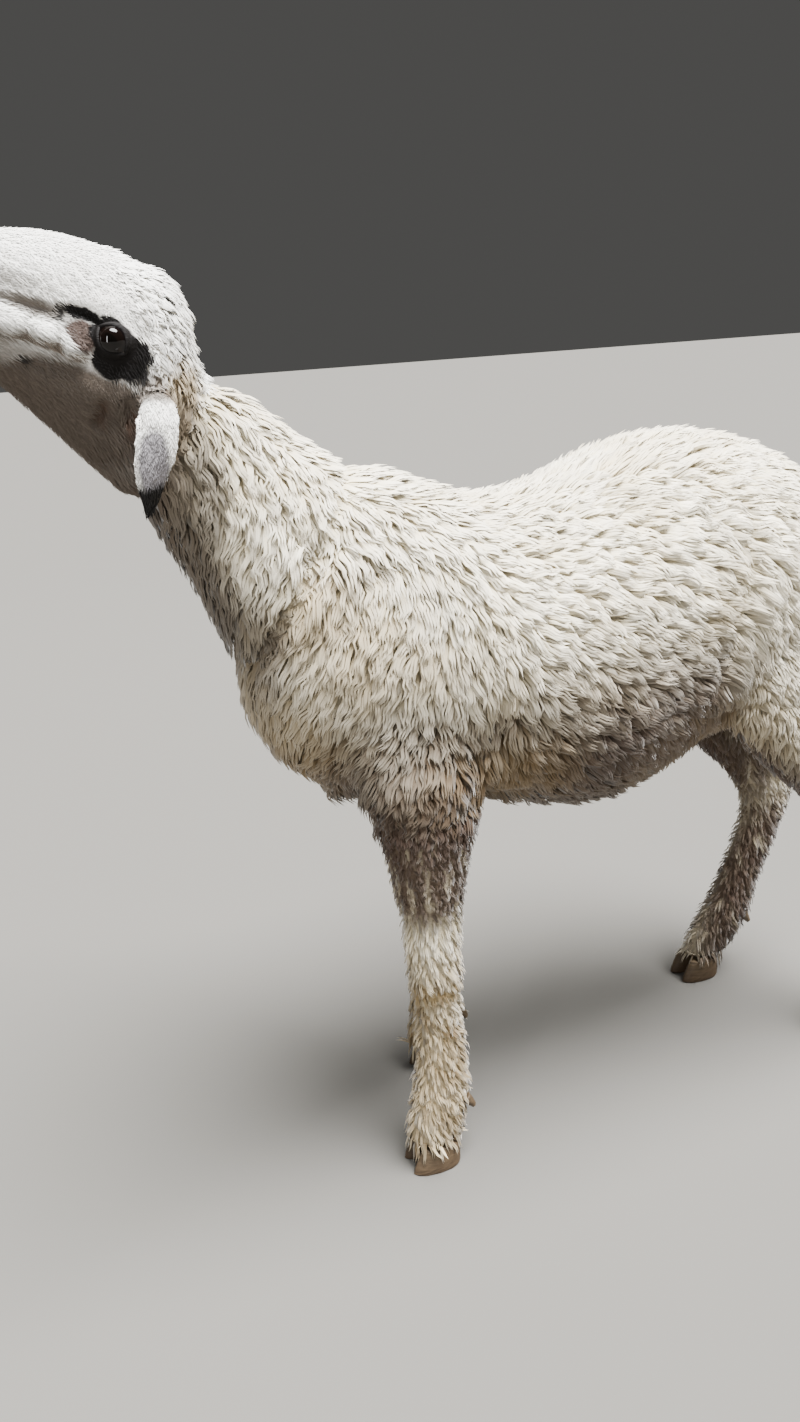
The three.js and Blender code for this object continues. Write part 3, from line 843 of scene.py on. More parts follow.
# Creases of the fleece, as shares of a node's box: their points, width and depth in millimetres.
BODY_CREASES = [
    ("neck crease", [("neck", 0.5, 1, 0.62), ("neck", 0.62, 1, 0.5), ("neck", 0.74, 1, 0.39)], 13, 6),
    ("neck fold", [("neck", 0.9, 1, 0.42), ("neck", 0.74, 1, 0.29)], 11, 5),
    ("neck wrinkle", [
        ("neck", 0.74, 0.85, 0.32), ("neck", 0.84, 0.85, 0.345), ("trunk", 0.17, 0.56, 0.785),
    ], 7, 4),
    ("breast wrinkle", [
        ("neck", 0.63, 0.85, 0.16), ("neck", 0.78, 1, 0.2), ("trunk", 0.13, 0.63, 0.69),
    ], 7, 4),
    ("breast fold", [
        ("trunk", 0.01, 0.06, 0.57), ("trunk", 0.04, 0.4, 0.62), ("trunk", 0.083, 0.56, 0.67),
    ], 9, 5),
    ("flank crease", [
        ("trunk", 0.7, 0.95, 0.74), ("trunk", 0.675, 1, 0.5), ("trunk", 0.64, 0.95, 0.28),
    ], 13, 8),
    ("elbow crease", [("trunk", 0.31, 0.9, 0.38), ("trunk", 0.27, 0.8, 0.16)], 12, 6),
]


def head_places(places):
    """Each place as millimetres noseward, crownward and outward of the eye, on the right side."""
    away = mirrored(places) - np.array(EYE)
    return np.stack([away @ np.array(NOSEWARD), away @ np.array(CROWNWARD), away[:, 1]], 1) / MM


def shape_head(places, normals):
    """How far the bones, folds and grooves of the head move each place along its normal."""
    local = head_places(places)
    flat = local[:, :2]
    side = smooth_step(np.abs(normals[:, 1]), 0.12, 0.5)
    move = np.zeros(len(places))
    for _, middle, radii, height in HEAD_LUMPS:
        move += height * np.exp(-(((flat - middle) / radii) ** 2).sum(1)) * side
    for _, middle, radii, height in HEAD_HOLLOWS:
        move += height * np.exp(-(((flat - middle) / radii) ** 2).sum(1))
    reach = np.maximum(side, flat[:, 0] > LIPS)
    for _, line, width, depth in HEAD_GROOVES:
        move -= depth * near_line(flat, line, width) * reach
    for line, (width, depth) in ((NOSTRIL, NOSTRIL_SIZE), (PHILTRUM, PHILTRUM_SIZE)):
        move -= depth * near_line(local, line, width)
    return move * MM


def shape_ears(places, owners):
    """How far inward the middle of each hanging ear lies behind its rims."""
    low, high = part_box(EARS[0])
    share = (places - np.array(low)) / np.array(high - low)
    across = (share[:, 0] - 0.42 - 0.06 * (0.5 - share[:, 2])) / 0.22
    down = (share[:, 2] - 0.5) / 0.3
    return on_parts(EARS, owners) * EAR_HOLLOW * np.exp(-(across**2) - down**4)


def shape_lids(places):
    """Wraps the skin round each eyeball as two lids, and sinks it behind the ball between them."""
    eyes = bpy.context.scene.sheep_eyes
    gaze, middle = np.array(GAZE), np.array(eye_middle())
    away = mirrored(places) - middle
    distance = np.linalg.norm(away, axis=1)
    ways = unit(away)
    turn = Matrix.Rotation(math.radians(HEAD_TILT + OPENING_TILT), 3, "Y")
    long_axis = np.array(turn @ Vector((-1, 0, 0)))
    long_axis = unit(long_axis - gaze * (long_axis @ gaze))
    short_axis = np.cross(gaze, long_axis)
    short_axis *= np.sign(short_axis[2])
    beside = ways - np.outer(ways @ gaze, gaze)
    angle = np.arctan2(np.linalg.norm(beside, axis=1), ways @ gaze)
    flat = unit(beside)
    across = (flat @ long_axis) * angle * eyes.radius
    height = (flat @ short_axis) * angle * eyes.radius
    share = np.clip(1 - (across / (eyes.opening / 2)) ** 2, -1.5, 1)
    # Distance from the lids' edges, below 0 in the opening.
    outside = -np.minimum(UPPER_LID * share - height, LOWER_LID * share + height)
    lid = eyes.radius + LID_THICKNESS * (0.35 + 0.65 * smooth_step(outside, -0.3 * MM, 1.6 * MM))
    crease = np.exp(-(((outside - 5.5 * MM) / (1.5 * MM)) ** 2)) * (height > 0)
    lid -= 0.9 * MM * crease
    sunk = eyes.radius - 3.0 * MM
    shaped = sunk + (lid - sunk) * smooth_step(outside, -1.1 * MM, -0.1 * MM)
    far = smooth_step(angle, math.radians(60), math.radians(95))
    kept = np.maximum(smooth_step(outside, 4 * MM, 12 * MM), far)
    radius = shaped + (distance - shaped) * kept
    near = (distance < 32 * MM) & (angle < math.radians(100))
    moved = middle + ways * radius[:, None]
    moved[:, 1] *= np.where(places[:, 1] < 0, -1, 1)
    return np.where(near[:, None], moved, places)


def crease_depth(places):
    """How deep the creases of the fleece lie at each place, in metres."""
    right = mirrored(places)
    depth = np.zeros(len(places))
    for _, line, width, most in BODY_CREASES:
        crease = near_line(right, [spot(*each) for each in line], width * MM)
        depth = np.maximum(depth, most * MM * crease)
    return depth


class SHEEP_OT_skin(bpy.types.Operator):
    """Makes the one skin that stands for all the flesh of the frame"""

    bl_idname = "sheep.skin"
    bl_label = "Skin"

    def execute(self, context):
        skin = whole_flesh()
        finder = part_finder()
        owners = owners_of(places_of(skin), finder)
        edges = read(skin.data.edges, "vertices", 2, np.int32)
        self.smooth(skin, owners, edges)
        places, normals = places_of(skin), normals_of(skin)
        fillers = of_parts(lambda name: EAR_FILLER if name in EARS else GAP_FILLER, owners)
        inward = edge_mean(coat_depth(places, owners) + fillers * 0.5, edges, 14)
        inward += crease_depth(places)
        set_places(skin, places - normals * inward[:, None])
        add_group(skin, "ears", np.flatnonzero(on_parts(EARS, owners)))
        apply_modifier(skin, "SMOOTH", factor=0.5, iterations=EAR_ROUNDS, vertex_group="ears")
        self.thin(skin, owners, context.scene.sheep_skin.faces)
        eyes = [EYE, mirror_of(EYE)]
        refine(skin, [MUZZLE], 52 * MM)
        refine(skin, eyes, 27 * MM)
        refine(skin, eyes, 21 * MM)
        places, normals = places_of(skin), normals_of(skin)
        owners = owners_of(places, finder)
        places += normals * shape_head(places, normals)[:, None]
        hollow = shape_ears(mirrored(places) * [1, -1, 1], owners)
        places[:, 1] -= np.sign(places[:, 1]) * hollow
        set_places(skin, shape_lids(places))
        edges = read(skin.data.edges, "vertices", 2, np.int32)
        store(skin.data, "fleece", edge_mean(fleece_share(places_of(skin), owners), edges, 3))
        skin.data.materials.append(haired_skin())
        finish(skin, "face", *FLESH)
        return {"FINISHED"}

    def smooth(self, skin, owners, edges):
        """Evens out the flesh, the trunk most and the ears least."""
        supple = edge_mean(of_parts(lambda name: SUPPLENESS[kind_of(name)], owners), edges, 12)
        levels = np.round(supple, 2)
        for level in np.unique(levels):
            add_group(skin, "supple", np.flatnonzero(levels == level), level)
        apply_modifier(
            skin, "SMOOTH", factor=0.5, iterations=SMOOTHING_ROUNDS, vertex_group="supple",
        )

    def thin(self, skin, owners, wanted):
        """Leaves fewer faces under the fleece, where the skin doesn't show."""
        skin.vertex_groups.clear()
        add_group(skin, "covered", np.flatnonzero(~on_parts(["head", *EARS], owners)))
        apply_modifier(
            skin, "DECIMATE", ratio=wanted / len(triangles_of(skin)), vertex_group="covered",
            use_collapse_triangulate=True,
        )
        skin.vertex_groups.clear()


def fleece_share(places, owners):
    """1 where wool grows and 0 where short hair does, for places on these parts."""
    kinds = of_parts(kind_of, owners)
    share = np.where(kinds == "ear", 0.0, 1.0)
    return np.where(kinds == "head", 0.3 * crown(places), share)


def crown_edge(places):
    """How many millimetres each place lies behind the edge of the head's wool.

    The edge runs behind the cheeks and over the crown above the eyes.
    """
    along, up, _ = head_places(places).T
    edge = -26 + 0.8 * np.clip(up - 8, 0, 60) - 0.3 * np.clip(-up - 20, 0, 60)
    return edge - along


def crown(places, fade=14):
    """Where the head's wool grows, mixed with the short hair along its edge."""
    return crown_edge(places) + fade * rough(places, 3 * MM) > 0


# ---- Coat ----
# The lie of the coat: a place as shares of a node's box, and the way the coat points there, with
# Y outward.
LIE = [
    ("neck", 0.45, 0.0, 0.98, (0.8, 0, -0.6)),
    ("neck", 0.9, 0.0, 0.75, (0.95, 0, -0.3)),
    ("neck", 0.3, 0.9, 0.8, (0.2, 0.1, -0.95)),
    ("neck", 0.5, 0.9, 0.45, (-0.3, 0.1, -1)),
    ("neck", 0.75, 0.9, 0.6, (0.1, 0.1, -0.9)),
    ("neck", 0.15, 0.2, 0.5, (0.1, 0, -1)),
    ("neck", 0.45, 0.2, 0.05, (-0.1, 0, -1)),
    ("trunk", 0.0, 0.2, 0.5, (-0.15, 0, -1)),
    ("trunk", 0.03, 0.7, 0.5, (-0.55, 0, -0.85)),
    ("trunk", 0.08, 0.6, 0.3, (-0.6, 0, -0.75)),
    ("trunk", 0.1, 0.1, 0.15, (0.2, 0, -0.9)),
    ("trunk", 0.17, 0.9, 0.62, (-0.45, 0, -1)),
    ("trunk", 0.18, 0.9, 0.35, (-0.5, 0, -1)),
    ("trunk", 0.2, 0.8, 0.85, (0.4, 0.3, -0.7)),
    ("trunk", 0.28, 0.95, 0.5, (0.2, 0, -0.9)),
    ("trunk", 0.27, 0.9, 0.25, (-0.05, 0, -1)),
    ("trunk", 0.25, 0.0, 1.0, (1, 0, 0)),
    ("trunk", 0.5, 0.0, 1.0, (1, 0, 0)),
    ("trunk", 0.75, 0.0, 1.0, (1, 0, 0)),
    ("trunk", 0.45, 0.8, 0.8, (0.9, 0.3, -0.35)),
    ("trunk", 0.4, 1.0, 0.6, (0.85, 0, -0.45)),
    ("trunk", 0.42, 0.9, 0.3, (0.8, 0, -0.6)),
    ("trunk", 0.6, 0.95, 0.5, (0.9, 0, -0.4)),
    ("trunk", 0.45, 0.2, 0.03, (0.95, -0.2, 0)),
    ("trunk", 0.8, 0.5, 0.88, (0.85, 0.4, -0.35)),
    ("trunk", 0.93, 0.3, 0.75, (0.6, 0.2, -0.75)),
    ("trunk", 0.8, 1.0, 0.45, (0.3, 0.1, -0.95)),
    ("trunk", 0.97, 0.5, 0.4, (0.15, 0, -1)),
    ("trunk", 0.72, 0.9, 0.2, (0.15, 0, -1)),
    ("tail", 0.1, 0.3, 0.95, (0.9, 0, -0.4)),
    ("tail", 0.7, 0.5, 0.5, (0.1, 0, -1)),
    ("head", 0.95, 0.0, 0.75, (0.8, 0, -0.6)),
    ("head", 0.7, 0.0, 1.0, (0.95, 0, -0.3)),
    ("head", 0.3, 0.3, 0.9, (0.92, 0, -0.39)),
    ("head", 0.1, 0.3, 0.8, (0.75, 0.3, -0.2)),
    ("head", 0.3, 0.8, 0.6, (0.85, 0.1, -0.5)),
    ("head", 0.6, 0.9, 0.65, (0.8, 0.1, -0.6)),
    ("head", 0.85, 0.9, 0.55, (0.45, 0.2, -0.9)),
    ("head", 0.8, 0.5, 0.1, (0.4, 0, -0.9)),
    ("head", 0.5, 0.3, 0.35, (0.8, 0, -0.6)),
]
LEG_LIE = [
    ("upper", 0.1, 0.5, 0.5, (0.05, 0, -1)),
    ("upper", 0.9, 0.5, 0.5, (0.35, 0, -1)),
    ("lower", 0.05, 0.5, 0.8, (0.1, 0, -1)),
    ("lower", 0.95, 0.5, 0.8, (0.6, 0, -0.9)),
    ("lower", 0.05, 0.5, 0.25, (0.1, 0, -1)),
    ("lower", 0.95, 0.5, 0.25, (0.6, 0, -0.9)),
]
EAR_LIE = [(0.5, 0.2, 0.95, (-0.1, 0.8, -0.3)), (0.5, 0.8, 0.5, (-0.15, 0.1, -1))]
LIE += [(f"{part}_{leg}", *each) for leg in LEGS for part, *each in LEG_LIE]
LIE += [(ear, *each) for ear in EARS for each in EAR_LIE]
LIE_PLACES = np.array([spot(*each[:4]) for each in LIE])
LIE_WAYS = unit(np.array([each[4] for each in LIE], float))
LIE_REACH = 25 * MM  # inside this distance a stroke of the comb counts in full
BLOCK = 20000  # places that are combed at once

# The coats: the strands of a lock, their width and thickness (flat, as a share of the width), how
# far apart they stand at the root and tip, the lock's waves and their height (crimp), how far
# strands stand off (loose) and end early (uneven), how far locks gather to the middle of their
# staple, the staple's size and roundness, how much the shading follows that roundness (soft), and
# a strand's width from root to tip (profile). The fleece's crimp is a setting.
FLEECE_SHAPE = {
    "strands": 3, "width": 2.05 * MM, "flat": 0.42, "root_width": 4.6 * MM, "tip_width": 3.3 * MM,
    "waves": 1.3, "loose": 0.6 * MM, "uneven": 3.5 * MM, "gather": 0.62, "staple": 7 * MM,
    "round": 0.42, "soft": 3.5,
    "profile": ([0, 0.3, 0.75, 1], [0.8, 1.0, 0.85, 0.35]),
}
CROWN_SHAPE = {
    "strands": 2, "width": 1.35 * MM, "flat": 0.5, "root_width": 2.4 * MM, "tip_width": 1.5 * MM,
    "crimp": 1.1 * MM, "waves": 1.2, "loose": 0.8 * MM, "uneven": 2 * MM, "gather": 0.6,
    "staple": 6 * MM, "round": 0.3, "soft": 3.5,
    "profile": ([0, 0.3, 0.7, 1], [0.8, 1.0, 0.8, 0.25]),
}
LEG_SHAPE = {
    "strands": 2, "width": 1.7 * MM, "flat": 0.5, "root_width": 3.2 * MM, "tip_width": 1.9 * MM,
    "crimp": 0.9 * MM, "waves": 1.2, "loose": 0.7 * MM, "uneven": 2 * MM, "gather": 0.6,
    "staple": 5.5 * MM, "round": 0.42, "soft": 1.8,
    "profile": ([0, 0.3, 0.7, 1], [0.8, 1.0, 0.8, 0.25]),
}
HAIR_SHAPE = {
    "strands": 1, "width": 1.0 * MM, "flat": 0.35, "root_width": 0, "tip_width": 0,
    "crimp": 0.15 * MM, "waves": 0.5, "loose": 0.25 * MM, "uneven": 1 * MM, "gather": 0.35,
    "staple": 5 * MM, "round": 0.12, "soft": 2.2,
    "profile": ([0, 0.4, 1], [0.8, 1.0, 0.3]),
}
CROWN_SPACING, CROWN_MOST = 2.1 * MM, 6 * MM  # CROWN_MOST is how far the crown's wool stands off
LEG_SPACING = 3.8 * MM
TIER = 17 * MM  # height of one tier of wool on the lower legs
TIER_DEPTH = 0.4  # how much nearer to the skin the wool lies at a tier's top
SWAY, CROWN_SWAY, HAIR_SWAY = 22, 26, 12  # degrees that a staple turns aside at most
BURIED = 1.2 * MM  # how deep a lock starts in the skin
UNDER_DIRT_AND_SHADE, FOLD_SHADE = 0.94, 0.5  # the most dirt with painted shade where the coat faces the ground, and the most painted shade in folds
STRAIGHTER = 0.55  # share of the curl that the back's wool lacks
TRIED = 3.2  # places tried for each square of the spacing, as many of them come too near another
SHARP_TURN = 0.45  # cosine of the turn of the skin from which on a lock goes straight
SCRAMBLE, SPREAD = [12989.8, 78233.1, 37719.5], 43758.5  # turn a place into a number by chance
PATCH = 0.003  # size of a lock's place on the flat map
FLEECE_BANDS = [("neck", 4), ("shoulder", 4), ("rib", 3), ("rump", 3)]  # and the steps of a lock


def lie_of(places, normals):
    """The way the coat points at each place, along the skin."""
    right = mirrored(places)
    ways = np.empty_like(places)
    for start in range(0, len(places), BLOCK):
        part = slice(start, start + BLOCK)
        away = ((right[part, None] - LIE_PLACES[None]) ** 2).sum(2)
        ways[part] = ((away + LIE_REACH**2) ** -2) @ LIE_WAYS
    ways[:, 1] *= np.where(places[:, 1] < 0, -1, 1)
    ways -= normals * (ways * normals).sum(1, keepdims=True)
    return unit(ways)


class Ground:
    """The finished skin, as the coat needs it: its faces, normals, parts and flat map."""

    def __init__(self, skin):
        self.places, self.normals = places_of(skin), normals_of(skin)
        self.faces = triangles_of(skin)
        corners = self.places[self.faces]
        across = np.cross(corners[:, 1] - corners[:, 0], corners[:, 2] - corners[:, 0])
        self.areas = np.linalg.norm(across, axis=1) / 2
        self.middles = corners.mean(1)
        self.owners = owners_of(self.middles, part_finder())
        self.kinds = of_parts(kind_of, self.owners)
        self.tree = BVHTree.FromPolygons(self.places.tolist(), self.faces.tolist())
        self.map = flat_map(skin)

    def follow(self, places):
        """The nearest places on the skin and the normals there."""
        found = [self.tree.find_nearest(p) for p in places.tolist()]
        faces = self.faces[[f[2] for f in found]]
        spots = np.array([f[0] for f in found])
        near = 1 / (np.linalg.norm(self.places[faces] - spots[:, None], axis=2) + 0.1 * MM)
        return spots, unit((self.normals[faces] * near[:, :, None]).sum(1))

    def scatter(self, chosen, spacing, rng):
        """Places on the chosen faces, at random but never nearer than spacing."""
        faces = np.flatnonzero(chosen)
        weights = self.areas[faces]
        count = int(weights.sum() / spacing**2 * TRIED)
        picked = rng.choice(faces, count, p=weights / weights.sum())
        a, b = rng.random((2, count))
        over = a + b > 1
        a, b = np.where(over, 1 - a, a), np.where(over, 1 - b, b)
        shares = np.stack([1 - a - b, a, b], 1)[:, :, None]
        spots = (self.places[self.faces[picked]] * shares).sum(1)
        normals = unit((self.normals[self.faces[picked]] * shares).sum(1))
        tree = search_tree(spots)
        free = np.ones(count, bool)
        kept = []
        for number, place in enumerate(spots.tolist()):
            if free[number]:
                kept.append(number)
                for _, other, _ in tree.find_range(place, spacing):
                    free[other] = False
        return spots[kept], normals[kept]


def flat_map(skin):
    """A light copy of the skin unwrapped flat: its search tree, the corners' places, and the map."""
    light = skin.copy()
    light.data = skin.data.copy()
    bpy.context.scene.collection.objects.link(light)
    apply_modifier(light, "DECIMATE", ratio=0.05)
    pick(light)
    bpy.ops.object.mode_set(mode="EDIT")
    bpy.ops.mesh.select_all(action="SELECT")
    bpy.ops.uv.smart_project(angle_limit=1.15, island_margin=0.004, scale_to_bounds=True)
    bpy.ops.object.mode_set(mode="OBJECT")
    faces = triangles_of(light)
    loops = read(light.data.loop_triangles, "loops", 3, np.int32)
    uv = read(light.data.uv_layers.active.uv, "vector", 2)[loops]
    places = places_of(light)
    bpy.data.objects.remove(light)
    return BVHTree.FromPolygons(places.tolist(), faces.tolist()), places[faces], uv


def map_places(ground, roots):
    """Where each root lies on the flat map of the skin, stretched to fill the map."""
    tree, corners, uv = ground.map
    faces = [tree.find_nearest(p)[2] for p in roots.tolist()]
    near = 1 / (np.linalg.norm(corners[faces] - roots[:, None], axis=2) + 0.01 * MM)
    spots = (uv[faces] * (near / near.sum(1, keepdims=True))[:, :, None]).sum(1)
    low, high = spots.min(0), spots.max(0)
    return 0.01 + 0.98 * (spots - low) / np.maximum(high - low, 1e-6)


_ground = []


def the_ground():
    """The skin as the coat needs it, worked out once."""
    if not _ground:
        _ground.append(Ground(bpy.data.objects["skin"]))
    return _ground[0]


def turned(ways, ups, angles):
    """ways turned about ups by these angles."""
    angles = angles[:, None]
    return ways * np.cos(angles) + np.cross(ups, ways) * np.sin(angles)


def locks(roots, normals, ground, depth, length, sway, steps, buried):
    """The middle lines of locks that leave the skin and bend along the lie of the coat.

    A lock turns aside by its sway towards its tip. Where the skin turns away sharply, as at a
    foot's or an ear's edge, it goes straight on.
    """
    count = len(roots)
    stations = np.empty((count, steps + 1, 3))
    ups = np.empty_like(stations)
    ways = np.empty_like(stations)
    here, up = roots, normals
    way = turned(lie_of(here, up), up, 0.3 * sway)
    for step in range(steps + 1):
        share = step / steps
        rise = depth * (1 - (1 - share) ** 1.7)
        stations[:, step] = here + up * (rise if step else np.full(count, -buried))[:, None]
        ups[:, step], ways[:, step] = up, way
        if step < steps:
            ahead = here + way * (length / steps)[:, None]
            found, facing = ground.follow(ahead)
            away = ((facing * up).sum(1) < SHARP_TURN)[:, None]
            here, up = np.where(away, ahead, found), np.where(away, up, facing)
            swayed = turned(lie_of(here, up), up, sway * (0.3 + 0.7 * (share + 1 / steps)))
            way = unit(way * 0.35 + np.where(away, way, swayed) * 0.65)
            way = unit(way - up * (way * up).sum(1, keepdims=True))
    return stations, ups, ways


def gathered(roots, spacing):
    """The staple that each lock belongs to: the middle of the staple's roots, one row a lock."""
    tree = search_tree(roots)
    owner = np.full(len(roots), -1)
    heads = []
    for number, place in enumerate(roots.tolist()):
        if owner[number] < 0:
            for _, other, _ in tree.find_range(place, spacing):
                if owner[other] < 0:
                    owner[other] = len(heads)
            heads.append(place)
    return np.array(heads)[owner]


def bundled(roots, normals, staples, depth, length, shape):
    """Depth and length of locks so that each staple is a rounded bundle whose tips end together."""
    way = lie_of(roots, normals)
    away = (roots - staples) / shape["staple"]
    ahead = np.clip((away * way).sum(1), -1, 1)
    aside = np.clip(np.abs((away * np.cross(normals, way)).sum(1)) / 0.8, 0, 1)
    rounding = shape["round"] * curl_at(roots)
    depth = depth * (1 - rounding * aside**2 - 0.25 * rounding * ahead)
    return depth, np.maximum(length - 0.8 * ahead * shape["staple"], 0.4 * length)


def curl_at(places):
    """How curly the wool is: fully on the neck, chest and shoulders, and less on the back."""
    start, end = spot("trunk", 0.2, 0, 0).x, spot("trunk", 0.5, 0, 0).x
    return 1 - STRAIGHTER * smooth_step(places[:, 0], start, end)


def sway_of(roots, staples, most):
    """How far each staple turns aside from the lie of the coat, most degrees or, on the back, more."""
    return math.radians(most) * (2 * chance_of(staples[:, [1, 0, 2]]) - 1) / curl_at(roots)


def chance_of(places):
    """A number from 0 to 1 for each place, alike for alike places."""
    return (np.sin(places @ SCRAMBLE) * SPREAD) % 1.0


def bend_of(inward, share, shape, roots, staples, rng):
    """How far each station of a lock moves aside: its waves, and its way to the staple's middle."""
    curl = curl_at(roots)[:, None]
    gather = inward * (shape["gather"] * share**1.3)[None] * (0.4 + 0.6 * curl)
    phase = (chance_of(staples) + rng.normal(0, 0.06, len(roots)))[:, None]
    wave = shape["crimp"] * np.sin(2 * np.pi * (shape["waves"] * share[None] + phase))
    wave *= np.minimum(1, 2.5 * share)[None] * (0.6 + 0.7 * chance_of(staples[:, ::-1]))[:, None]
    return wave * curl + gather


def strand_places(lines, sides, bend, fan, shape, rng):
    """The corners of one strand of every lock: three at each station, and one at the tip.

    fan is the strand's place in its lock, from -1 on one side to 1 on the other.
    """
    stations, ups, ways = lines
    count, rings = stations.shape[0], stations.shape[1] - 1
    share = np.linspace(0, 1, rings + 1)
    spread = fan * 0.5 + rng.normal(0, 0.12, count)
    ends = fan * 0.5 + rng.normal(0, 0.35, count)
    reach = shape["root_width"] * (1 - share)[None] * spread[:, None]
    reach += shape["tip_width"] * share[None] * ends[:, None]
    lift = shape["loose"] * rng.normal(0, 1, count)[:, None] * share[None] ** 2
    back = -(rng.random(count) ** 2)[:, None] * shape["uneven"] * share[None]
    middle = stations + sides * (reach + bend)[:, :, None] + ups * lift[:, :, None]
    middle += ways * back[:, :, None]
    girth = shape["width"] * np.interp(share, *shape["profile"])
    thick = (shape["flat"] * girth)[None, :, None]
    half = (girth / 2)[None, :, None]
    twist = rng.uniform(-0.25, 0.25, count)[:, None, None]
    flat_way = sides * np.cos(twist) + ups * np.sin(twist)
    high_way = ups * np.cos(twist) - sides * np.sin(twist)
    low = middle - high_way * thick * 0.35
    high = middle + high_way * thick * 0.65
    ring = np.stack([low - flat_way * half, low + flat_way * half, high], 2)
    return np.concatenate([ring[:, :rings].reshape(count, rings * 3, 3), middle[:, -1:]], 1)


def strand_pattern(rings):
    """The faces of one strand and their corners on its patch of the flat map."""
    faces, corners = [], []
    for ring in range(rings):
        for side in range(3):
            a, b = ring * 3 + side, ring * 3 + (side + 1) % 3
            left, right = side / 3, (side + 1) / 3
            low, high = ring / rings, (ring + 1) / rings
            if ring + 1 < rings:
                faces += [(a, b, b + 3), (a, b + 3, a + 3)]
                corners += [((left, low), (right, low), (right, high))]
                corners += [((left, low), (right, high), (left, high))]
            else:
                faces.append((a, b, rings * 3))
                corners.append(((left, low), (right, low), ((left + right) / 2, high)))
    faces.append((0, 2, 1))
    corners.append(((0, 0), (1, 0), (0.5, 0.15)))
    return np.array(faces), np.array(corners)


def filled_mesh(name, places, faces, uv):
    """A mesh of triangles with its map."""
    mesh = bpy.data.meshes.new(name)
    mesh.vertices.add(len(places))
    mesh.vertices.foreach_set("co", places.astype(np.float32).ravel())
    mesh.loops.add(faces.size)
    mesh.loops.foreach_set("vertex_index", faces.astype(np.int32).ravel())
    mesh.polygons.add(len(faces))
    mesh.polygons.foreach_set("loop_start", np.arange(0, faces.size, 3, dtype=np.int32))
    mesh.update(calc_edges=True)
    layer = mesh.uv_layers.new(name="OFBake", do_init=False)
    layer.uv.foreach_set("vector", uv.astype(np.float32).ravel())
    return mesh


def coat_mesh(name, lines, shape, roots, tones, staples, ground, rng):
    """One piece of coat: closed three-sided strands, several to a lock, all in one mesh.

    lines are the locks' middle lines, and staples the middles that the locks' tips gather
    towards. shape is one of the coats above.
    """
    stations, ups, ways = lines
    rings, strands = stations.shape[1] - 1, shape["strands"]
    share = np.linspace(0, 1, rings + 1)
    sides = np.cross(ups, ways)
    inward = ((staples - roots)[:, None] * sides).sum(2)
    bend = bend_of(inward, share, shape, roots, staples, rng)
    middle = (strands - 1) / 2
    fans = [(strand - middle) / max(middle, 1) for strand in range(strands)]
    places = np.stack([strand_places(lines, sides, bend, fan, shape, rng) for fan in fans], 1)
    faces, uv = strand_pattern(rings)
    corners, total = rings * 3 + 1, len(roots) * strands
    faces = (faces[None] + (np.arange(total) * corners)[:, None, None]).reshape(-1, 3)
    spots = np.repeat(map_places(ground, roots), strands, axis=0)
    uv = spots[:, None, None] + PATCH * (uv[None] - 0.5)
    mesh = filled_mesh(name, places.reshape(-1, 3), faces, uv)
    store(mesh, "along", np.tile(np.append(np.repeat(share[:rings], 3), 1.0), total))
    tone = np.repeat(np.repeat(tones, strands) + rng.normal(0, 0.08, total), corners)
    store(mesh, "tone", np.clip(tone, 0, 1))
    store(mesh, "root", np.repeat(roots, strands * corners, axis=0))
    store(mesh, "dirt_and_shade", np.repeat(dirt_and_shade_at(roots, ups[:, 0]), strands * corners))
    mesh.shade_smooth()
    leaning = sides * np.clip(-inward / (0.8 * shape["staple"]), -1, 1)[:, :, None]
    outward = np.repeat((ups + 2 * shape["round"] * leaning)[:, None], strands, axis=1)
    outward = np.concatenate([np.repeat(outward[:, :, :rings], 3, axis=2), outward[:, :, -1:]], 2)
    soft = unit(read(mesh.vertices, "normal", 3) + shape["soft"] * outward.reshape(-1, 3))
    mesh.normals_split_custom_set_from_vertices(soft)
    piece = bpy.data.objects.new(name, mesh)
    bpy.context.scene.collection.objects.link(piece)
    return piece


def dirt_and_shade_at(places, normals):
    """How much darker and browner the coat is drawn: dirt mottled on the legs, dirt with painted shade
    low on the body and where it faces the ground, and painted shade in the folds.
    """
    height = places[:, 2]
    clean, dirt_shade = spot("trunk", 0, 0, 0.7).z, spot("trunk", 0, 0, 0.15).z
    # Dirt with painted shade low on the trunk.
    low = smooth_step(-height, -clean, -dirt_shade) * smooth_step(height, dirt_shade - 70 * MM, dirt_shade)
    flank, thigh = spot("trunk", 0.61, 0, 0).x, spot("trunk", 0.71, 0, 0).x
    low *= 1 - 0.9 * smooth_step(places[:, 0], flank, thigh)  # less on the thigh
    low *= np.clip(1 + 0.3 * rough(places, 45 * MM), 0, 1.1)
    # Painted shade, with some dirt, where the coat faces the ground.
    under = UNDER_DIRT_AND_SHADE * smooth_step(-normals[:, 2], 0.0, 0.8)
    knee = spot("upper_fore_leg_left", 0, 0, 0).z
    leg = smooth_step(-height, -knee - 60 * MM, -knee)
    leg *= np.clip(0.3 + 0.9 * rough(places, 15 * MM), 0, 0.9)
    # Painted shade in the folds.
    folds = FOLD_SHADE * np.clip(crease_depth(places) / (5 * MM), 0, 1)
    return 1 - (1 - under) * (1 - np.clip(low, 0, 1)) * (1 - leg) * (1 - folds)


def reach_of(places):
    """How far the flesh of the frame, which goes out to the coat's tips, lies from the skin."""
    tree, _ = part_finder()
    found = np.array([tree.find_nearest(p)[3] for p in places.tolist()])
    return np.clip(found - 0.7 * crease_depth(places), 3 * MM, 17 * MM)


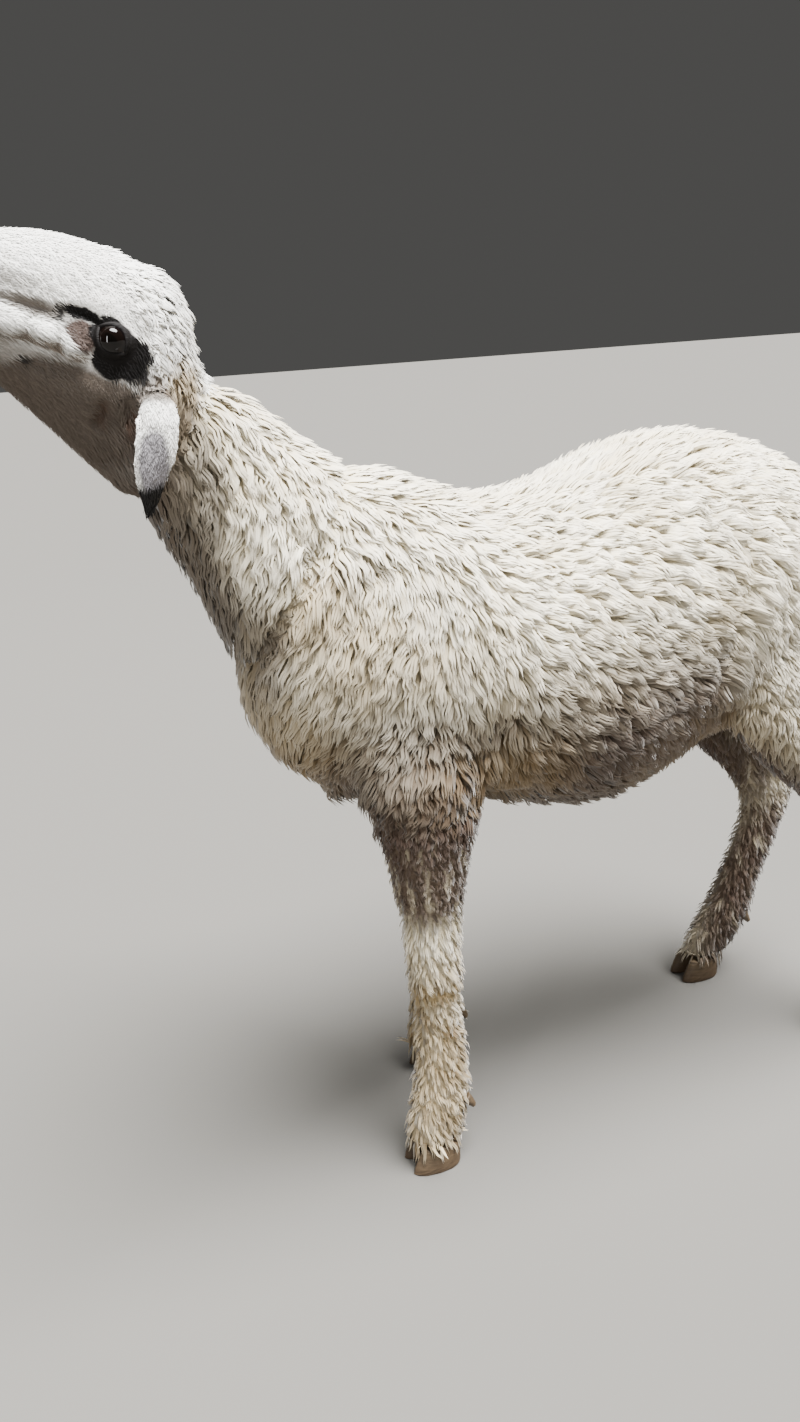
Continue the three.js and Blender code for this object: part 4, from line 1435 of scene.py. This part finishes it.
def hairless(places):
    """Where no hair grows: the lids, the nostrils, the nose between them and the lips' edges."""
    local = head_places(places)
    eye = np.linalg.norm(local * [1, 1, 0.6], axis=1) < 15
    nostril = to_line(local, NOSTRIL) < 3.2
    nose = np.linalg.norm((local - NOSE) / NOSE_SIZE, axis=1) < 1
    mouth = (to_line(local[:, :2], MOUTH) < 1.6) & (local[:, 0] > 98)
    return eye | nostril | nose | mouth


def grow(name, coat, shape, steps, rng, material, slot, buried=BURIED):
    """Makes one piece of coat. coat holds a row for each lock: where and how it grows."""
    roots, normals, depth, length, sway, tones, staples = coat
    ground = the_ground()
    lines = locks(roots, normals, ground, depth, length, sway, steps, buried)
    piece = coat_mesh(name, lines, shape, roots, np.clip(tones, 0, 1), staples, ground, rng)
    piece.data.materials.append(material)
    finish(piece, slot)


class SHEEP_OT_fleece(bpy.types.Operator):
    """Grows the fleece of the neck, body and tail"""

    bl_idname = "sheep.fleece"
    bl_label = "Fleece"

    def execute(self, context):
        ground = the_ground()
        fleece = context.scene.sheep_fleece
        rng = np.random.default_rng(SEED)
        woolly = np.isin(ground.kinds, ["trunk", "neck", "tail"])
        for leg in LEGS:
            woolly &= ~leg_area(ground.middles, ground.owners, leg)
        roots, normals = ground.scatter(woolly, fleece.spacing, rng)
        depth = reach_of(roots)
        length = fleece.length * (depth / (12 * MM)) ** 0.7 * rng.uniform(0.85, 1.15, len(roots))
        depth *= 1 + 0.16 * rough(roots, 38 * MM) + 0.1 * rough(roots, 15 * MM)
        depth *= rng.normal(1, 0.05, len(roots))
        shape = dict(FLEECE_SHAPE, crimp=fleece.crimp)
        staples = gathered(roots, shape["staple"])
        tones = 0.55 + 0.3 * rough(roots, 30 * MM) + 0.4 * (chance_of(staples) - 0.5)
        tones += rng.normal(0, 0.06, len(roots))
        depth *= 0.85 + 0.3 * chance_of(staples[:, ::-1])
        length *= 0.62 + 0.38 * curl_at(roots)
        depth, length = bundled(roots, normals, staples, depth, length, shape)
        coat = (roots, normals, depth, length, sway_of(roots, staples, SWAY), tones, staples)
        material = wool()
        band = np.digitize(roots[:, 0], np.quantile(roots[:, 0], [0.25, 0.5, 0.75]))
        for number, (label, steps) in enumerate(FLEECE_BANDS):
            for side, mirror in SIDES.items():
                chosen = (band == number) & ((roots[:, 1] > 0) == (mirror > 0))
                part = [each[chosen] for each in coat]
                grow(f"fleece_{label}_{side}", part, shape, steps, rng, material, "wool")
        return {"FINISHED"}


class SHEEP_OT_leg_wool(bpy.types.Operator):
    """Grows the shorter wool of the legs"""

    bl_idname = "sheep.leg_wool"
    bl_label = "Leg wool"

    def execute(self, context):
        ground = the_ground()
        rng = np.random.default_rng(SEED + 1)
        material = bpy.data.materials["greasy_wool"]
        for leg in LEGS:
            low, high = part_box(f"lower_{leg}")
            chosen = leg_area(ground.middles, ground.owners, leg)
            chosen &= ground.middles[:, 2] > low.z + 5 * MM
            roots, normals = ground.scatter(chosen, LEG_SPACING, rng)
            kept = (normals[:, 2] > -0.5) | (roots[:, 2] > 0.1)  # not below the pastern
            roots, normals = roots[kept], normals[kept]
            depth, length = leg_coat(roots, leg)
            tier = (roots[:, 2] / TIER + 0.25 * rough(roots, 20 * MM)) % 1.0
            tier = 1 - TIER_DEPTH * tier * (roots[:, 2] < high.z + 80 * MM)
            depth = depth * MM * tier * rng.normal(1.12, 0.14, len(roots))
            length = length * MM * rng.uniform(0.85, 1.2, len(roots))
            tones = 0.55 + 0.3 * rough(roots, 18 * MM) + rng.normal(0, 0.15, len(roots))
            staples = gathered(roots, LEG_SHAPE["staple"])
            depth, length = bundled(roots, normals, staples, depth, length, LEG_SHAPE)
            coat = (roots, normals, depth, length, sway_of(roots, staples, SWAY), tones, staples)
            grow(f"wool_{leg}", coat, LEG_SHAPE, 3, rng, material, "wool")
        return {"FINISHED"}


class SHEEP_OT_crown(bpy.types.Operator):
    """Grows the short wool of the crown, and the ruff behind the cheeks"""

    bl_idname = "sheep.crown"
    bl_label = "Crown wool"

    def execute(self, context):
        ground = the_ground()
        rng = np.random.default_rng(SEED + 3)
        chosen = (ground.kinds == "head") & crown(ground.middles)
        roots, normals = ground.scatter(chosen, CROWN_SPACING, rng)
        behind = smooth_step(crown_edge(roots), 0, CROWN_FADE)
        depth = np.minimum(reach_of(roots), CROWN_MOST) * (0.75 + 0.25 * behind)
        depth *= rng.normal(1, 0.12, len(roots))
        depth *= 1 + 0.5 * rough(roots, 11 * MM)
        length = (8 + 6 * behind) * MM * rng.uniform(0.8, 1.25, len(roots))
        # The crown's wool is drawn lighter than the rest of the coat: white wool with painted light on
        # the poll.
        tones = 0.82 + 0.25 * rough(roots, 15 * MM) + rng.normal(0, 0.12, len(roots))
        staples = gathered(roots, CROWN_SHAPE["staple"])
        depth, length = bundled(roots, normals, staples, depth, length, CROWN_SHAPE)
        sway = sway_of(roots, staples, CROWN_SWAY)
        coat = (roots, normals, depth, length, sway, tones, staples)
        grow("wool_crown", coat, CROWN_SHAPE, 3, rng, short_hair(), "face")
        return {"FINISHED"}


class SHEEP_OT_hair(bpy.types.Operator):
    """Grows the short hair of the face and ears"""

    bl_idname = "sheep.hair"
    bl_label = "Face hair"

    def execute(self, context):
        ground = the_ground()
        spacing = context.scene.sheep_hair.spacing
        rng = np.random.default_rng(SEED + 2)
        material = bpy.data.materials["short_hair"]
        face = (ground.kinds == "head") & ~crown(ground.middles) & ~hairless(ground.middles)
        ears = ground.kinds == "ear"
        for name, chosen, apart, length, depth, buried, soft in (
            # The face's hair is longer and stands off more than the ears', which is denser.
            ("hair_face", face, spacing, 6 * MM, 1.3 * MM, 0.8 * MM, 2.2),
            ("hair_ears", ears, spacing * 0.8, 4.5 * MM, 0.7 * MM, 0.3 * MM, 0.9),
        ):
            roots, normals = ground.scatter(chosen, apart, rng)
            local = head_places(roots)
            longer = smooth_step(-local[:, 0], -10, 30) * (name == "hair_face")
            fold = near_line(local[:, :2], CHEEK_TUFTS, 8) * (name == "hair_face")
            shorter = smooth_step(local[:, 0], 90, 140)
            shorter += 1.3 * smooth_step(-np.linalg.norm(local * [1, 1, 0.5], axis=1), -42, -29)
            grown = length * (1 + 0.9 * longer + 1.1 * fold - 0.45 * shorter)
            grown *= rng.uniform(0.8, 1.25, len(roots))
            lifts = depth * (1 + 0.9 * longer + 1.1 * fold - 0.4 * shorter)
            lifts *= rng.normal(1, 0.2, len(roots)) + 0.3 * rough(roots, 7 * MM)
            tones = 0.6 + 0.3 * rough(roots, 12 * MM) + rng.normal(0, 0.15, len(roots))
            staples = gathered(roots, HAIR_SHAPE["staple"])
            coat = (roots, normals, lifts, grown, sway_of(roots, staples, HAIR_SWAY), tones, staples)
            grow(name, coat, dict(HAIR_SHAPE, soft=soft), 2, rng, material, "face", buried)
        return {"FINISHED"}


# ---- Eyes and claws ----
CORNEA = 1.1 * MM  # how far the cornea bulges
RING_GAP, RING_HEIGHT = 3.2 * MM, 0.28 * MM  # of a claw's growth rings
WALL_SINK = 0.2 * MM  # keeps the rings inside the claw's size


class SHEEP_OT_eyes(bpy.types.Operator):
    """Makes the two eyeballs, each with a raised cornea"""

    bl_idname = "sheep.eyes"
    bl_label = "Eyes"

    def execute(self, context):
        material = wet_eye()
        radius = context.scene.sheep_eyes.radius
        for side, mirror in SIDES.items():
            middle, gaze = eye_middle(), GAZE.copy()
            middle.y *= mirror
            gaze.y *= mirror
            bpy.ops.object.select_all(action="DESELECT")
            bpy.ops.mesh.primitive_uv_sphere_add(
                segments=64, ring_count=40, radius=radius, location=middle,
                rotation=gaze.to_track_quat("Z", "Y").to_euler(),
            )
            eye = bpy.context.object
            eye.name = eye.data.name = f"eyeball_{side}"
            bpy.ops.object.transform_apply(location=True, rotation=True, scale=True)
            away = places_of(eye) - np.array(middle)
            facing = (away @ np.array(gaze)) / radius
            bulge = CORNEA * smooth_step(facing, 0.72, 0.95)
            set_places(eye, np.array(middle) + away * (1 + bulge / radius)[:, None])
            eye.data.materials.append(material)
            finish(eye, "eye", f"eye_{side}")
        return {"FINISHED"}


class SHEEP_OT_claws(bpy.types.Operator):
    """Rounds the claws and dewclaws and cuts growth rings into their walls"""

    bl_idname = "sheep.claws"
    bl_label = "Claws"

    def execute(self, context):
        material = claw_horn()
        for node in CLAWS:
            claw = closed_copy(node, f"horn_{node}")
            low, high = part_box(node)
            apply_modifier(
                claw, "BEVEL", width=1.2 * MM, segments=2, limit_method="ANGLE",
                angle_limit=math.radians(50),
            )
            apply_modifier(claw, "SUBSURF", levels=2, render_levels=2)
            places, normals = places_of(claw), normals_of(claw)
            wall = 1 - smooth_step(np.abs(normals[:, 2]), 0.75, 0.95)
            sloping = places[:, 2] - 0.25 * (places[:, 0] - low.x)
            rings = np.sin(sloping / RING_GAP * 2 * math.pi)
            places += normals * (wall * (RING_HEIGHT * rings - WALL_SINK))[:, None]
            if not node.startswith("dew"):  # the sole stays on the floor
                bottom, top = places[:, 2].min(), places[:, 2].max()
                places[:, 2] = low.z + (places[:, 2] - bottom) * (high.z / (top - bottom))
            set_places(claw, places)
            share = (places[:, 0] - low.x) / (high.x - low.x)
            heel = 0.8 * smooth_step(share, 0.35, 0.9) - 0.15
            store(claw.data, "heel", heel)
            claw.data.materials.append(material)
            finish(claw, "horn", node)
        return {"FINISHED"}


# ---- Stage ----
CAMERA_PLACE = Vector((-0.4044, -0.849, 0.7765))
CAMERA_YAW = math.radians(20.6)
CAMERA_DOWN = math.radians(20)
CAMERA_ROLL = math.radians(3.5)
LENS = 27.04
SUN_PLACE = (0.45, -0.55, 2.35)  # the wide soft light above, seen from the sheep
SUN_POWER, SUN_WIDTH = 26, math.radians(40)
SKY, SKY_POWER = "#C4C3C0", 0.14
LAMP_TARGET = Vector((0, 0, 0.45))
LAMPS = [
    # name, place, size along X and Y, power in watts
    ("strip", (-1.3, -1.2, 1.1), (0.1, 0.9), 10),
    ("back", (0.4, 1.8, 1.9), (1.6, 1.6), 16),
]


class SHEEP_OT_stage(bpy.types.Operator):
    """Sets up the floor, the soft lamps, the sky and the camera"""

    bl_idname = "sheep.stage"
    bl_label = "Stage"

    def execute(self, context):
        self.floor(context)
        bpy.ops.object.light_add(type="SUN", location=SUN_PLACE)
        sun = context.object
        sun.name = "soft_sun"
        sun.data.energy = SUN_POWER
        sun.data.angle = SUN_WIDTH
        sun.rotation_euler = Vector(SUN_PLACE).to_track_quat("Z", "Y").to_euler()
        for name, place, size, power in LAMPS:
            bpy.ops.object.light_add(type="AREA", location=place)
            lamp = context.object
            lamp.name = name
            lamp.data.shape = "RECTANGLE"
            lamp.data.size, lamp.data.size_y = size
            lamp.data.energy = power
            lamp.rotation_euler = (LAMP_TARGET - lamp.location).to_track_quat("-Z", "Y").to_euler()
        world = bpy.data.worlds.new("pale_room")
        context.scene.world = world
        world.use_nodes = True
        sky = world.node_tree.nodes["Background"]
        sky.inputs["Color"].default_value = linear(SKY)
        sky.inputs["Strength"].default_value = SKY_POWER
        self.camera(context)
        return {"FINISHED"}

    def floor(self, context):
        stage = context.scene.sheep_stage
        bpy.ops.mesh.primitive_plane_add(size=stage.floor_size, location=(0, 0, 0))
        floor = context.object
        floor.name = "floor"
        material, tree = new_material("matt_floor")
        set_surface(tree, {"Base Color": stage.floor[:], "Roughness": 0.9, "Specular IOR Level": 0.1})
        floor.data.materials.append(material)

    def camera(self, context):
        sin, cos = math.sin(CAMERA_YAW), math.cos(CAMERA_YAW)
        level = Vector((cos, -sin, 0))
        ahead = Vector((sin, cos, 0)) * math.cos(CAMERA_DOWN) - Vector((0, 0, math.sin(CAMERA_DOWN)))
        up = level.cross(ahead)
        right = level * math.cos(CAMERA_ROLL) - up * math.sin(CAMERA_ROLL)
        top = level * math.sin(CAMERA_ROLL) + up * math.cos(CAMERA_ROLL)
        facing = Matrix((right, top, -ahead)).transposed()
        bpy.ops.object.camera_add(location=CAMERA_PLACE, rotation=facing.to_euler())
        camera = context.object
        camera.data.lens = LENS
        camera.data.sensor_width = 36
        camera.data.clip_start = 0.05
        context.scene.camera = camera


OPERATORS = [
    SHEEP_OT_stage, SHEEP_OT_skin, SHEEP_OT_eyes, SHEEP_OT_claws, SHEEP_OT_fleece,
    SHEEP_OT_leg_wool, SHEEP_OT_crown, SHEEP_OT_hair,
]


class SHEEP_PT_panel(bpy.types.Panel):
    """Lists the pieces of the sheep and their settings"""

    bl_label = "Woolly sheep"
    bl_idname = "SHEEP_PT_panel"
    bl_space_type = "VIEW_3D"
    bl_region_type = "UI"
    bl_category = "Sheep"

    def draw(self, context):
        for operator in OPERATORS:
            self.layout.operator(operator.bl_idname)
        for name, kind in SETTINGS.items():
            box = self.layout.box()
            box.label(text=name.replace("_", " ").capitalize())
            for setting in kind.__annotations__:
                box.prop(getattr(context.scene, name), setting)


def register():
    for kind in (*SETTINGS.values(), *OPERATORS, SHEEP_PT_panel):
        bpy.utils.register_class(kind)
    for name, kind in SETTINGS.items():
        setattr(bpy.types.Scene, name, PointerProperty(type=kind))


def unregister():
    for name in SETTINGS:
        delattr(bpy.types.Scene, name)
    for kind in (SHEEP_PT_panel, *OPERATORS[::-1], *SETTINGS.values()):
        bpy.utils.unregister_class(kind)


def main():
    register()
    for operator in OPERATORS:
        group, name = operator.bl_idname.split(".")
        getattr(getattr(bpy.ops, group), name)()


if __name__ == "__main__":
    main()
